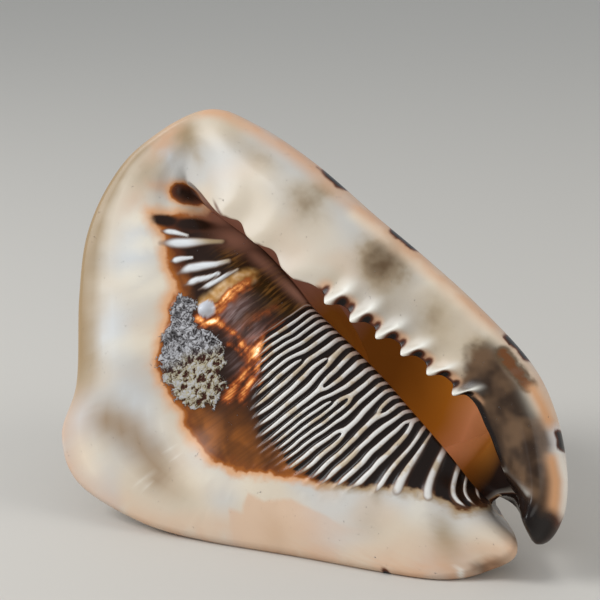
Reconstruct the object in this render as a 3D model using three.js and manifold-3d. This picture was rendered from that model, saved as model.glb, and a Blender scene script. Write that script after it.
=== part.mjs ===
import * as THREE from 'three';
import { mergeVertices } from 'three/addons/utils/BufferGeometryUtils.js';
import Module from 'manifold-3d';

// Helmet shell, one grown piece, in millimetres.
// It is shaped in its own frame and then leaned back as it rests. In that frame X runs
// towards the outer lip, Y towards the spire, and Z out of the mouth. The shield, the
// broad callus round the mouth, lies at about Z = 0.

// How the shell stands
const LEAN_BACK = 24;
const TURNED_LEFT = 20;
const ROLLED = 56;
const FOOT_DEPTH = 0.9;

// Body whorl and spire
const APEX_Y = 192;
const AXIS_X = -4;
const AXIS_Z = -20;
const AXIS_SLOPE = -0.19;
const WHORL_GROWTH = 1.55;
const CENTRE = new THREE.Vector3(-4, 100, -40);
const WALL = 4.5;
const COLUMELLA = 7;
// Radius of the body whorl against the distance from the apex
const PROFILE = [
  [0, 0], [10, 9], [20, 18], [32, 28], [39, 38], [46, 48], [54, 54], [64, 56.5],
  [80, 56], [100, 53.5], [120, 50], [140, 45], [155, 39], [170, 30], [184, 20], [196, 11], [204, 0],
];

// Suture and nodules of the spire
const SUTURE_AT = 33;
const WHORL_BULGE = 0.07;
const NODULE_BULGE = 0.05;
const NODULES_PER_TURN = 9;

// Knobs: distance from the apex, height and half-width of each row, and their step
const KNOB_ROWS = [
  { from: 60, height: 10, width: 13, first: 42, count: 5 },
  { from: 92, height: 5.5, width: 11, first: 60, count: 2 },
  { from: 122, height: 3.5, width: 10, first: 44, count: 4 },
];
const KNOB_STEP = 34;
// The horn that the shell leans on
const HORN = { turn: 131, from: 92, height: 19, width: 13 };

// Snout that carries the siphonal canal, bent back behind the shield
const SNOUT = { root: [0, 42, -32], rootRadius: 15, tip: [2, 35, -43], tipRadius: 10.5 };

// Stations round the mouth. rim is the outer edge, mouth the edge of the opening, and
// mid a point of the face between them. angle is the direction of the back behind the
// station, and neck the depth where the back turns into the flange.
const STATIONS = [
  { rim: [46, 196, -6], mid: [33, 189, -1], mouth: [20, 182, -6], angle: 62, neck: -30 },
  { rim: [54, 176, -8], mid: [37, 168, 3], mouth: [20, 160, 2], angle: 52, neck: -26 },
  { rim: [57, 147, -8], mouth: [20.5, 139, 3], angle: 37, neck: -20 },
  { rim: [56.5, 114, -8], mouth: [20, 116, 4], angle: 13 },
  { rim: [56.5, 90, -8], mouth: [22, 90, 5], angle: -9 },
  { rim: [55.5, 62, -8], mouth: [25, 67, 5], angle: -32 },
  { rim: [52, 33, -8], mouth: [25.5, 44, 4], angle: -48 },
  { rim: [44, 14, -8], mouth: [24.5, 28.5, 2], angle: -58 },
  { rim: [31, -2.5, -8], mouth: [19, 18.5, -2], angle: -65 },
  { rim: [18, -12, -8], mouth: [14, 10, -6], angle: -70, neck: -17 },
  { rim: [6, -12.5, -8], mouth: [12.5, 4.5, -10], angle: -74, neck: -23, back: [0.5, 0, -0.8] },
  { rim: [11, 7, -28], mid: [10, 7, -20], mouth: [11.5, 7, -13], angle: -78.5, neck: -34, back: [0.95, 0, -0.3] },
  { rim: [4, 22, -46], mid: [6, 16, -31], mouth: [8.5, 11.5, -18], angle: -86, neck: -49, back: [0, 0.3, -0.95] },
  { rim: [-1, 13, -42], mid: [2.5, 12.5, -29], mouth: [5.5, 12.5, -16], angle: -94, neck: -44, back: [-0.95, 0, -0.3] },
  { rim: [-1.5, -9, -2], mid: [1.5, 9, -6], mouth: [4.5, 13, -14], angle: -99, neck: -26, back: [-0.5, 0, -0.85] },
  { rim: [-14, -5, -4], mid: [-9, 25, -1], mouth: [5.5, 21, -12], angle: -103, neck: -18 },
  { rim: [-27, 4.5, 0], mid: [-20, 41, 0], mouth: [8, 31.5, -10], angle: -108 },
  { rim: [-39.5, 23, 0], mid: [-31, 57, 0], mouth: [10, 43, -9], angle: -117 },
  { rim: [-56, 50, -3], mid: [-37, 72, 0], mouth: [12, 56.5, -8], angle: -136 },
  { rim: [-76, 82, -5], mid: [-37.5, 86, 0], mouth: [14, 71, -8], angle: -165 },
  { rim: [-88.5, 108, -6], mid: [-34, 98, 0], mouth: [15, 87, -9], angle: -185 },
  { rim: [-94.5, 137, -8], mid: [-28, 108, 0], mouth: [15.5, 101, -10], angle: -202 },
  { rim: [-85.5, 154, -6], mid: [-21, 117, 0], mouth: [16, 113, -11], angle: -213 },
  { rim: [-66.5, 162.5, -4], mid: [-14, 130, -1], mouth: [18, 127, -14], angle: -225 },
  { rim: [-42, 184, -3], mid: [-6, 150, -2], mouth: [19.5, 145, -16], angle: -246, neck: -18 },
  { rim: [-21.5, 199, -3], mid: [-2, 168, -2], mouth: [18.5, 160, -15], angle: -260, neck: -23 },
  { rim: [0, 206.5, -4], mid: [6, 183, -2], mouth: [17.5, 172, -12], angle: -272, neck: -28 },
  { rim: [20.5, 206.5, -5], mid: [17, 191, -3], mouth: [17.5, 180, -9], angle: -283, neck: -31 },
];
const COUNT = STATIONS.length;
const NECK = -15;
const LIP_END = 10;
const CANAL = 12;
const SHIELD_START = 14;

// Thickness of the flange's rounded edge
const EDGE_FRONT = 4.5;
const EDGE_BACK = 4;
const EDGE_INSET = 3;
const CANAL_EDGE = 0.6;
const LIP_CROWN = 6;
const FLANGE_SWELL = 2.5;

// White folds on the columella, and teeth on the lip
const FOLDS_FROM = 14.2;
const FOLDS_WIDE_TO = 16;
const FOLDS_TO = 22.3;
const WIDE_FOLDS = 4;
const FINE_FOLDS = 24;
const FOLD_HEIGHT = 1.5;
const FOLD_AT_MOUTH = 0.3;
const FOLD_FADE = 0.9;
const UPPER_FOLDS = { from: 24.1, to: 25.6, count: 5, height: 1.4 };
const TEETH = [3.53, 4, 4.5, 5, 5.5, 6.04];
const LOW_TEETH = [1.06, 1.93, 2.86];
const TOOTH_WIDTH = 0.11;
const TOOTH_REACH = 3.4;
const TOOTH_HEIGHT = 2.2;
const LOW_TOOTH = 0.45;
const LOW_REACH = 0.6;
// The edge is drawn back between the teeth, which ends where the lip's lower part starts
const RECESS_END = [6.3, 7.2];

// Mesh
const BACK_ROWS = 19;
const BACK_PER_STATION = 4;
const INSIDE_PER_STATION = 2;
const FACE_STEPS = [0.17, 0.34, 0.5, 0.62, 0.74, 0.84, 0.93, 1];
const MID_AT = 0.5;
const TURN_ROOM = 14;
const TUBE_LOW = 160;
const TUBE_HIGH = 53;
const TUBE_FROM_Y = 5;
const TUBE_SPAN_Y = 177;
const CANAL_WIDTH = 1.8;
const CANAL_OPEN = 1.6;
const CANAL_DIP = 14;
const UNDERCUT = 3;
const THROAT_DROP = 4;
const LIP_RISE = 2;
const BEND_AT = 0.35;
const SWELL = 2.5;
const TUBE_TURNS = [-25, 0, 30, 60, 90, 120, 150, 180, 200];
const TUBE_END = 208;

const rad = THREE.MathUtils.degToRad;
const lerp = THREE.MathUtils.lerp;
const clamp = THREE.MathUtils.clamp;
const smooth = (x, low, high) => THREE.MathUtils.smoothstep(x, low, high);
const bell = (x, width) => Math.exp(-((x / width) ** 2));

// A smooth curve through one value of every station, which closes on itself
function aroundStations(values) {
  return (s) => {
    const i = Math.floor(s);
    const t = s - i;
    const at = (k) => values[((i + k) % COUNT + COUNT) % COUNT];
    const [a, b, c, d] = [at(-1), at(0), at(1), at(2)];
    return 0.5 * (2 * b + (c - a) * t + (2 * a - 5 * b + 4 * c - d) * t * t + (3 * b - a - 3 * c + d) * t ** 3);
  };
}

function curveOf(name) {
  const axes = [0, 1, 2].map((axis) => aroundStations(STATIONS.map((one) => one[name][axis])));
  return (s) => new THREE.Vector3(...axes.map((axis) => axis(s)));
}

for (const one of STATIONS) {
  if (!one.mid) {
    one.mid = one.rim.map((value, axis) => lerp(value, one.mouth[axis], MID_AT));
    one.mid[2] = LIP_CROWN;
  }
  one.back ??= [0, 0, -1];
}
const rimAt = curveOf('rim');
const midAt = curveOf('mid');
const mouthAt = curveOf('mouth');
const backAt = curveOf('back');
const neckAt = aroundStations(STATIONS.map((one) => one.neck ?? NECK));

function angleAt(s) {
  const i = Math.floor(s) % COUNT;
  const next = i + 1 < COUNT ? STATIONS[i + 1].angle : STATIONS[0].angle - 360;
  return rad(lerp(STATIONS[i].angle, next, s - Math.floor(s)));
}

// 1 on the outer lip, 0 on the columella side, in between at the two ends
function lipShare(s) {
  const posterior = 0.5;
  if (s > SHIELD_START) return posterior * smooth(s, COUNT - 2, COUNT);
  return (1 - smooth(s, LIP_END, SHIELD_START)) * lerp(posterior, 1, smooth(s, 0, 1.5));
}

const axisZ = (y) => AXIS_Z + AXIS_SLOPE * y;

// Growth of the whorl, 1 at the lip and less with each turn back from it
function growth(turn) {
  const closed = 240;
  const open = 300;
  if (turn <= closed) return WHORL_GROWTH ** (-turn / 360);
  const back = WHORL_GROWTH ** (-closed / 360);
  return lerp(back, WHORL_GROWTH ** ((360 - open) / 360), smooth(turn, closed, open));
}

function profile(u) {
  if (u <= 0 || u >= PROFILE[PROFILE.length - 1][0]) return 0;
  const i = PROFILE.findIndex((point) => point[0] > u) - 1;
  const [u0, r0] = PROFILE[i];
  const [u1, r1] = PROFILE[i + 1];
  return lerp(r0, r1, (u - u0) / (u1 - u0));
}

const whorlRadius = (y, g) => g * profile((APEX_Y - y) / g);

function turnOf(x, y, z) {
  const turn = THREE.MathUtils.radToDeg(Math.atan2(axisZ(y) - z, x - AXIS_X));
  return turn < -60 ? turn + 360 : turn;
}

function knobHeight(turn, u, r, g) {
  let height = 0;
  for (const row of KNOB_ROWS) {
    for (let k = 0; k < row.count; k += 1) {
      const away = rad(turn - row.first - KNOB_STEP * k) * r;
      height += row.height * g * bell(Math.hypot(away, u - row.from * g), row.width * g);
    }
  }
  const beside = rad(turn - HORN.turn) * r;
  return height + HORN.height * bell(Math.hypot(beside, u - HORN.from), HORN.width);
}

function spireBulge(turn, u, g) {
  const whorls = Math.log(Math.max(u, 1) / (SUTURE_AT * g)) / Math.log(WHORL_GROWTH);
  if (whorls > 0) return 0;
  const part = whorls - Math.floor(whorls);
  const nodule = Math.max(0, Math.cos(rad(turn) * NODULES_PER_TURN)) ** 2 * bell(part - 0.65, 0.2);
  return u * (WHORL_BULGE * Math.sin(Math.PI * part) ** 0.7 + NODULE_BULGE * nodule);
}

// How deep a point lies in the body whorl, negative outside it
function depthInBody(p) {
  const turn = turnOf(p.x, p.y, p.z);
  const g = growth(turn);
  const u = APEX_Y - p.y;
  const r = Math.hypot(p.x - AXIS_X, p.z - axisZ(p.y));
  const body = whorlRadius(p.y, g) + knobHeight(turn, u, r, g) + spireBulge(turn, u, g) - r;
  const root = new THREE.Vector3(...SNOUT.root);
  const tip = new THREE.Vector3(...SNOUT.tip);
  const way = tip.clone().sub(root);
  const t = clamp(p.clone().sub(root).dot(way) / way.lengthSq(), 0, 1);
  const snout = lerp(SNOUT.rootRadius, SNOUT.tipRadius, t) - p.distanceTo(root.addScaledVector(way, t));
  const soft = 4;
  return soft * Math.log(Math.exp(body / soft) + Math.exp(snout / soft));
}

// The farthest point of the body along a ray
function castOut(from, way) {
  const reach = 170;
  const step = 1.5;
  let far = reach;
  while (far > 0 && depthInBody(from.clone().addScaledVector(way, far)) < 0) far -= step;
  let low = Math.max(far, 0);
  let high = low + step;
  for (let k = 0; k < 20; k += 1) {
    const half = (low + high) / 2;
    if (depthInBody(from.clone().addScaledVector(way, half)) > 0) low = half;
    else high = half;
  }
  return from.clone().addScaledVector(way, low);
}

function neckPoint(s) {
  const angle = angleAt(s);
  const level = CENTRE.clone().setZ(neckAt(s));
  return castOut(level, new THREE.Vector3(Math.cos(angle), Math.sin(angle), 0));
}

function backPoint(s, share) {
  const neck = neckPoint(s).sub(CENTRE);
  const flat = Math.hypot(neck.x, neck.y);
  const tilt = Math.atan2(flat, -neck.z) * share;
  const way = new THREE.Vector3(neck.x / flat * Math.sin(tilt), neck.y / flat * Math.sin(tilt), -Math.cos(tilt));
  return castOut(CENTRE, way);
}

// The edge is thinner round the canal
const edgeScale = (s) => 1 - (1 - CANAL_EDGE) * smooth(s, LIP_END - 0.6, LIP_END + 0.6)
  * (1 - smooth(s, SHIELD_START - 0.7, SHIELD_START + 0.4));

function inwardAt(s) {
  const way = midAt(s).sub(rimAt(s));
  return way.normalize();
}

// A point beside the rim, on its front (negative) or its back
function edgeBeside(s, thickness) {
  const scale = edgeScale(s);
  return rimAt(s).addScaledVector(inwardAt(s), EDGE_INSET * scale).addScaledVector(backAt(s), thickness * scale);
}

const edgeBack = (s) => edgeBeside(s, EDGE_BACK);

function flangeBack(s, share) {
  const neck = neckPoint(s);
  const point = neck.lerp(edgeBack(s), share);
  point.z += FLANGE_SWELL * Math.sin(Math.PI * share) * edgeScale(s);
  return point;
}

const toothAt = (s, list) => list.reduce((sum, at) => sum + bell(s - at, TOOTH_WIDTH), 0);

function foldWave(s) {
  if (s > FOLDS_FROM && s < FOLDS_TO) {
    const wide = WIDE_FOLDS * (Math.min(s, FOLDS_WIDE_TO) - FOLDS_FROM) / (FOLDS_WIDE_TO - FOLDS_FROM);
    const fine = FINE_FOLDS * Math.max(0, s - FOLDS_WIDE_TO) / (FOLDS_TO - FOLDS_WIDE_TO);
    const fade = smooth(s, FOLDS_FROM, FOLDS_FROM + 0.4) * (1 - smooth(s, FOLDS_TO - 0.6, FOLDS_TO));
    return FOLD_HEIGHT * fade * (0.5 - 0.5 * Math.cos(2 * Math.PI * (wide + fine)));
  }
  if (s > UPPER_FOLDS.from && s < UPPER_FOLDS.to) {
    const part = (s - UPPER_FOLDS.from) / (UPPER_FOLDS.to - UPPER_FOLDS.from);
    return UPPER_FOLDS.height * (0.5 - 0.5 * Math.cos(2 * Math.PI * part * UPPER_FOLDS.count));
  }
  return 0;
}

function facePoint(s, share) {
  const edge = edgeBeside(s, -EDGE_FRONT);
  if (share === 0) return edge;
  const mid = midAt(s);
  const mouth = mouthAt(s);
  const lip = s < LIP_END ? 1 - smooth(s, LIP_END - 1, LIP_END) : smooth(s, COUNT - 2, COUNT);
  const tooth = toothAt(s, TEETH);
  const lowTooth = toothAt(s, LOW_TEETH);
  const reach = TOOTH_REACH * lerp(LOW_REACH, 1, smooth(s, LOW_TEETH[2], TEETH[0]));
  const recess = (1 - Math.min(1, tooth + lowTooth)) * smooth(s, 0, 0.8) * (1 - smooth(s, ...RECESS_END));
  mouth.x += reach * lip * recess;
  // A curve from the edge to mid, and a straight run from there to the mouth
  const run = mouth.clone().sub(mid);
  const t = share;
  let point;
  if (t < MID_AT) {
    const u = t / MID_AT;
    const bend = mid.clone().addScaledVector(run, -BEND_AT);
    point = edge.multiplyScalar((1 - u) ** 2).addScaledVector(bend, 2 * u * (1 - u)).addScaledVector(mid, u * u);
  } else {
    const u = (t - MID_AT) / (1 - MID_AT);
    point = mid.addScaledVector(run, u);
    point.z += SWELL * (1 - lip) * Math.sin(Math.PI * u);
  }
  point.z += lip * TOOTH_HEIGHT * (tooth + LOW_TOOTH * lowTooth) * smooth(t, 0.6, 0.9);
  const fold = smooth(t, MID_AT - 0.04, MID_AT + 0.2) * lerp(1, FOLD_AT_MOUTH, smooth(t, FOLD_FADE, 1));
  point.z += foldWave(s) * fold;
  return point;
}

// The hollow of the last whorl: a section that turns about the axis and shrinks
function tubePoint(s, turn) {
  const g = growth(turn);
  const along = clamp((mouthAt(s).y - TUBE_FROM_Y) / TUBE_SPAN_Y, 0, 1);
  const y = APEX_Y - g * lerp(TUBE_LOW, TUBE_HIGH, along);
  const outer = whorlRadius(y, g) - WALL;
  const room = TURN_ROOM * (1 - smooth(turn, TUBE_TURNS[0], 120));
  const previous = whorlRadius(y, g / WHORL_GROWTH) + WALL - room;
  const inner = Math.min(Math.max(COLUMELLA * g, previous), outer - 3);
  const r = lerp(inner, outer, lipShare(s));
  const dip = bell(s - CANAL, CANAL_WIDTH) * (1 - smooth(turn, TUBE_TURNS[0], 60));
  return new THREE.Vector3(
    AXIS_X + r * Math.cos(rad(turn)) - CANAL_DIP * 0.6 * dip, y,
    axisZ(y) - r * Math.sin(rad(turn)) - CANAL_DIP * dip);
}

function throatPoint(s, share) {
  const lip = lipShare(s);
  const canal = bell(s - CANAL, CANAL_OPEN);
  const mouth = facePoint(s, 1);
  const sag = Math.sin(Math.PI * share);
  const point = mouth.lerp(tubePoint(s, TUBE_TURNS[0]), share);
  point.x += sag * lerp(-UNDERCUT, 0, lip) * (1 - canal);
  point.z += sag * lerp(-THROAT_DROP, LIP_RISE, lip) * (1 - canal);
  return point;
}

// Rings of points, each with the station values of its points
function ring(stations, pointAt) {
  return stations.map((s) => ({ s, point: pointAt(s) }));
}

function evenly(perStation) {
  return Array.from({ length: COUNT * perStation }, (_, k) => k / perStation);
}

function faceStations() {
  const list = [];
  const run = (from, to, steps) => {
    for (let k = 0; k < steps; k += 1) list.push(lerp(from, to, k / steps));
  };
  run(0, 3.28, 16);
  run(3.28, 6.28, 27);
  run(6.28, 10, 12);
  run(10, FOLDS_FROM, 13);
  run(FOLDS_FROM, FOLDS_WIDE_TO, WIDE_FOLDS * 4);
  run(FOLDS_WIDE_TO, FOLDS_TO, FINE_FOLDS * 2);
  run(FOLDS_TO, UPPER_FOLDS.from, 6);
  run(UPPER_FOLDS.from, UPPER_FOLDS.to, UPPER_FOLDS.count * 4);
  run(UPPER_FOLDS.to, COUNT, 8);
  return list;
}

const triangles = [];
const addTriangle = (a, b, c) => triangles.push(a, b, c);

// Joins two rings that may have different numbers of points
function stitch(first, second) {
  let i = 0;
  let j = 0;
  const at = (list, k) => list[k % list.length];
  const valueAt = (list, k) => at(list, k).s + (k >= list.length ? COUNT : 0);
  while (i < first.length || j < second.length) {
    const stepFirst = j >= second.length
      || (i < first.length && valueAt(first, i + 1) <= valueAt(second, j + 1));
    if (stepFirst) {
      addTriangle(at(first, i + 1).point, at(first, i).point, at(second, j).point);
      i += 1;
    } else {
      addTriangle(at(first, i).point, at(second, j).point, at(second, j + 1).point);
      j += 1;
    }
  }
}

function fan(pole, list, flip) {
  list.forEach((one, k) => {
    const next = list[(k + 1) % list.length];
    if (flip) addTriangle(pole, one.point, next.point);
    else addTriangle(pole, next.point, one.point);
  });
}

const backStations = evenly(BACK_PER_STATION);
const insideStations = evenly(INSIDE_PER_STATION);
const rings = [];
for (let k = 1; k <= BACK_ROWS; k += 1) rings.push(ring(backStations, (s) => backPoint(s, k / BACK_ROWS)));
for (const share of [0.35, 0.7]) rings.push(ring(backStations, (s) => flangeBack(s, share)));
rings.push(ring(backStations, edgeBack));
rings.push(ring(faceStations(), rimAt));
for (const share of [0, ...FACE_STEPS]) rings.push(ring(faceStations(), (s) => facePoint(s, share)));
for (const share of [0.3, 0.65]) rings.push(ring(insideStations, (s) => throatPoint(s, share)));
for (const turn of TUBE_TURNS) rings.push(ring(insideStations, (s) => tubePoint(s, turn)));

const backPole = castOut(CENTRE, new THREE.Vector3(0, 0, -1));
fan(backPole, rings[0], true);
for (let k = 0; k + 1 < rings.length; k += 1) stitch(rings[k], rings[k + 1]);
const lastRing = rings[rings.length - 1];
const beyond = ring(insideStations, (s) => tubePoint(s, TUBE_END));
const innerPole = beyond.reduce((sum, one) => sum.add(one.point), new THREE.Vector3()).divideScalar(beyond.length);
fan(innerPole, lastRing, false);

// From the shell's own frame to the frame in which it stands
function standing() {
  const [yaw, lean, roll] = [TURNED_LEFT, LEAN_BACK, ROLLED].map(rad);
  const out = new THREE.Vector3(
    -Math.sin(yaw) * Math.cos(lean), -Math.cos(yaw) * Math.cos(lean), Math.sin(lean));
  const up = new THREE.Vector3(Math.sin(yaw) * Math.sin(lean), Math.cos(yaw) * Math.sin(lean), Math.cos(lean));
  const side = new THREE.Vector3().crossVectors(up, out);
  const x = side.clone().multiplyScalar(Math.cos(roll)).addScaledVector(up, Math.sin(roll));
  const y = side.clone().multiplyScalar(-Math.sin(roll)).addScaledVector(up, Math.cos(roll));
  return new THREE.Matrix4().makeBasis(x, y, out);
}

let shellGeometry = new THREE.BufferGeometry().setFromPoints(triangles);
shellGeometry.applyMatrix4(standing());
shellGeometry.computeBoundingBox();
const box = shellGeometry.boundingBox;
shellGeometry.translate(0, 0, -box.min.z - FOOT_DEPTH);

const wasm = await Module();
wasm.setup();

function toSolid(geometry) {
  const bare = geometry.clone();
  bare.deleteAttribute('normal');
  bare.deleteAttribute('uv');
  const merged = mergeVertices(bare, 1e-4);
  return new wasm.Manifold(new wasm.Mesh({
    numProp: 3,
    vertProperties: new Float32Array(merged.attributes.position.array),
    triVerts: new Uint32Array(merged.index.array),
  }));
}

function toGeometry(solid) {
  const mesh = solid.getMesh();
  const geometry = new THREE.BufferGeometry();
  geometry.setAttribute('position', new THREE.BufferAttribute(mesh.vertProperties, 3));
  geometry.setIndex(new THREE.BufferAttribute(mesh.triVerts, 1));
  geometry.computeVertexNormals();
  return geometry;
}

// The places that the shell rests on are worn flat
const ground = new THREE.BoxGeometry(600, 600, 40).translate(0, 0, -20);
shellGeometry = toGeometry(toSolid(shellGeometry).subtract(toSolid(ground)));
shellGeometry.computeBoundingBox();
const middle = shellGeometry.boundingBox.getCenter(new THREE.Vector3());
shellGeometry.translate(-middle.x, -middle.y, 0);

const shell = new THREE.Mesh(
  shellGeometry, new THREE.MeshStandardMaterial({ color: 0xe2c9ab, roughness: 0.3, metalness: 0 }));
shell.name = 'helmet_shell';

const part = new THREE.Group();
part.add(shell);
export default part;
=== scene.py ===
"""Helmet shell: the grown form with its glossy callus, ridges, teeth, crust and colours."""
import math

import bmesh
import bpy
import numpy as np
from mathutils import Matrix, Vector, noise


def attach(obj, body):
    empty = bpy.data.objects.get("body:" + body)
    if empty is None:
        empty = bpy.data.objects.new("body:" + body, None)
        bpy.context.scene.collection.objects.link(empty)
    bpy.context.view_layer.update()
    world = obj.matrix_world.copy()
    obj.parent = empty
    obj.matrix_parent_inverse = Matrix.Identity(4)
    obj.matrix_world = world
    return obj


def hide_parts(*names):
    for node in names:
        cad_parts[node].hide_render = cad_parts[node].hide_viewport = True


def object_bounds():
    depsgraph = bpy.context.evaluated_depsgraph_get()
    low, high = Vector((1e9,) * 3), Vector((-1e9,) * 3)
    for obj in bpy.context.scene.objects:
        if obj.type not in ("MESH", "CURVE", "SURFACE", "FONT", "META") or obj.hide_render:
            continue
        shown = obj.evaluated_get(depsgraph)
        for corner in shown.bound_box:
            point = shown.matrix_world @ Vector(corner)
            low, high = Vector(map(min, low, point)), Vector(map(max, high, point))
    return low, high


bl_info = {
    "name": "Helmet Shell",
    "version": (1, 0, 0),
    "blender": (4, 5, 0),
    "location": "View3D > Sidebar > Shell",
    "description": "Builds a large helmet shell with its callus, ridges and colours",
    "category": "Add Mesh",
}

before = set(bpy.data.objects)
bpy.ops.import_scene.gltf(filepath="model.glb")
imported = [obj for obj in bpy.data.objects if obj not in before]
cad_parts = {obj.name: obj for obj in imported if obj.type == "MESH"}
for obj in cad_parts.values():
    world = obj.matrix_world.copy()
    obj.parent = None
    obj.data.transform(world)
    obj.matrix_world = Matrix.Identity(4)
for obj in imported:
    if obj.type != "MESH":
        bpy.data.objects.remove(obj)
CAD_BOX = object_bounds()

MM = 0.001

# Lengths are in millimetres, in the shell's own frame. In it X runs towards the outer lip,
# Y towards the spire, and Z out of the mouth. The shield lies at about Z = 0.

# Body whorl and spire
APEX_Y = 192
AXIS_X = -4
AXIS_Z = -20
AXIS_SLOPE = -0.19
WHORL_GROWTH = 1.55
CENTRE = np.array([-4.0, 100.0, -40.0])
WALL = 4.5
COLUMELLA = 7
PROFILE_FROM = [0, 10, 20, 32, 39, 46, 54, 64, 80, 100, 120, 140, 155, 170, 184, 196, 204]
PROFILE_RADIUS = [0, 9, 18, 28, 38, 48, 54, 56.5, 56, 53.5, 50, 45, 39, 30, 20, 11, 0]
CLOSED_TURN = 240
OPEN_TURN = 300

# Suture and nodules of the spire
SUTURE_AT = 33
WHORL_BULGE = 0.07
NODULE_BULGE = 0.05
NODULES_PER_TURN = 9

# Knobs: distance from the apex, height, half-width, first turn and count of each row
KNOB_ROWS = [(60, 10, 13, 42, 5), (92, 5.5, 11, 60, 2), (122, 3.5, 10, 44, 4)]
KNOB_STEP = 34
HORN_TURN = 131
HORN_FROM = 92
HORN_HEIGHT = 19
HORN_WIDTH = 13

# Snout of the canal
SNOUT_ROOT = np.array([0.0, 42.0, -32.0])
SNOUT_TIP = np.array([2.0, 35.0, -43.0])
SNOUT_ROOT_RADIUS = 15
SNOUT_TIP_RADIUS = 10.5
SNOUT_BLEND = 4

# Stations round the mouth: outer edge, middle of the face, edge of the mouth, direction of
# the back behind it, depth of the neck, and the way the edge faces back
LIP_CROWN = 6
STATIONS = [
    ([46, 196, -6], [33, 189, -1], [20, 182, -6], 62, -30, [0, 0, -1]),
    ([54, 176, -8], [37, 168, 3], [20, 160, 2], 52, -26, [0, 0, -1]),
    ([57, 147, -8], [38.75, 143, LIP_CROWN], [20.5, 139, 3], 37, -20, [0, 0, -1]),
    ([56.5, 114, -8], [38.25, 115, LIP_CROWN], [20, 116, 4], 13, -15, [0, 0, -1]),
    ([56.5, 90, -8], [39.25, 90, LIP_CROWN], [22, 90, 5], -9, -15, [0, 0, -1]),
    ([55.5, 62, -8], [40.25, 64.5, LIP_CROWN], [25, 67, 5], -32, -15, [0, 0, -1]),
    ([52, 33, -8], [38.75, 38.5, LIP_CROWN], [25.5, 44, 4], -48, -15, [0, 0, -1]),
    ([44, 14, -8], [34.25, 21.25, LIP_CROWN], [24.5, 28.5, 2], -58, -15, [0, 0, -1]),
    ([31, -2.5, -8], [25, 8, LIP_CROWN], [19, 18.5, -2], -65, -15, [0, 0, -1]),
    ([18, -12, -8], [16, -1, LIP_CROWN], [14, 10, -6], -70, -17, [0, 0, -1]),
    ([6, -12.5, -8], [9.25, -4, LIP_CROWN], [12.5, 4.5, -10], -74, -23, [0.5, 0, -0.8]),
    ([11, 7, -28], [10, 7, -20], [11.5, 7, -13], -78.5, -34, [0.95, 0, -0.3]),
    ([4, 22, -46], [6, 16, -31], [8.5, 11.5, -18], -86, -49, [0, 0.3, -0.95]),
    ([-1, 13, -42], [2.5, 12.5, -29], [5.5, 12.5, -16], -94, -44, [-0.95, 0, -0.3]),
    ([-1.5, -9, -2], [1.5, 9, -6], [4.5, 13, -14], -99, -26, [-0.5, 0, -0.85]),
    ([-14, -5, -4], [-9, 25, -1], [5.5, 21, -12], -103, -18, [0, 0, -1]),
    ([-27, 4.5, 0], [-20, 41, 0], [8, 31.5, -10], -108, -15, [0, 0, -1]),
    ([-39.5, 23, 0], [-31, 57, 0], [10, 43, -9], -117, -15, [0, 0, -1]),
    ([-56, 50, -3], [-37, 72, 0], [12, 56.5, -8], -136, -15, [0, 0, -1]),
    ([-76, 82, -5], [-37.5, 86, 0], [14, 71, -8], -165, -15, [0, 0, -1]),
    ([-88.5, 108, -6], [-34, 98, 0], [15, 87, -9], -185, -15, [0, 0, -1]),
    ([-94.5, 137, -8], [-28, 108, 0], [15.5, 101, -10], -202, -15, [0, 0, -1]),
    ([-85.5, 154, -6], [-21, 117, 0], [16, 113, -11], -213, -15, [0, 0, -1]),
    ([-66.5, 162.5, -4], [-14, 130, -1], [18, 127, -14], -225, -15, [0, 0, -1]),
    ([-42, 184, -3], [-6, 150, -2], [19.5, 145, -16], -246, -18, [0, 0, -1]),
    ([-21.5, 199, -3], [-2, 168, -2], [18.5, 160, -15], -260, -23, [0, 0, -1]),
    ([0, 206.5, -4], [6, 183, -2], [17.5, 172, -12], -272, -28, [0, 0, -1]),
    ([20.5, 206.5, -5], [17, 191, -3], [17.5, 180, -9], -283, -31, [0, 0, -1]),
]
COUNT = len(STATIONS)
RIM, MID, MOUTH, DIRECTION, NECK, BACK_WAY = range(6)
LIP_END = 10
CANAL = 12
SHIELD_START = 14

# Rounded edge of the flange
EDGE_FRONT = 4.5
EDGE_BACK = 4
EDGE_INSET = 3
EDGE_SHARE = 0.1
FLANGE_SWELL = 2.5
CANAL_EDGE = 0.6

# Folds on the columella, and teeth on the lip. A fold is named by the station at which it meets
# the mouth: the count of folds up to there, how far it drifts on its way to the outer end,
# and how much of its room is white
FOLD_COUNTS = [
    (14.2, -1.5), (15.35, 0.5), (15.7, 1.5), (16.38, 2.5), (17.05, 3.5), (18.9, 11.5), (22.3, 25.5),
    (25.2, 38.5),
]
FOLD_DRIFTS = [
    (15.3, 1.2), (17.1, 0.98), (17.5, 0.8), (18, 0.46), (18.6, 0.25), (19.7, 0.45), (20.9, 0.22),
    (21.8, 0.08),
]
FOLD_WIDTHS = [(15, 0.56), (17, 0.6), (17.6, 0.88), (19, 0.92), (20, 1)]
FOLD_HOOK = 0.09
FOLD_BEND = (1.6, 0.45)
ORIGIN_PASSES = 8
FOLDS_FROM = 14.2
FOLDS_WIDE_TO = 16
FOLDS_TO = 22.3
UPPER_FROM = 24.1
UPPER_TO = 25.6
UPPER_SHARE = 0.75
TEETH = [3.53, 4, 4.5, 5, 5.5, 6.04]
LOW_TEETH = [1.06, 1.93, 2.86]
TOOTHED = (3.1, 3.4, 6.4, 6.7)
TOOTH_WIDTH = 0.1
RIDGE_WIDTH = 0.17
LOW_TOOTH_WIDTH = 0.3
TOOTH_HOOK = 0.14
TOOTH_REACH = 3.4
LOW_TOOTH = 0.6
LIP_OVERHANG = 1.5
RECESS_END = (6.3, 7.2)

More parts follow.
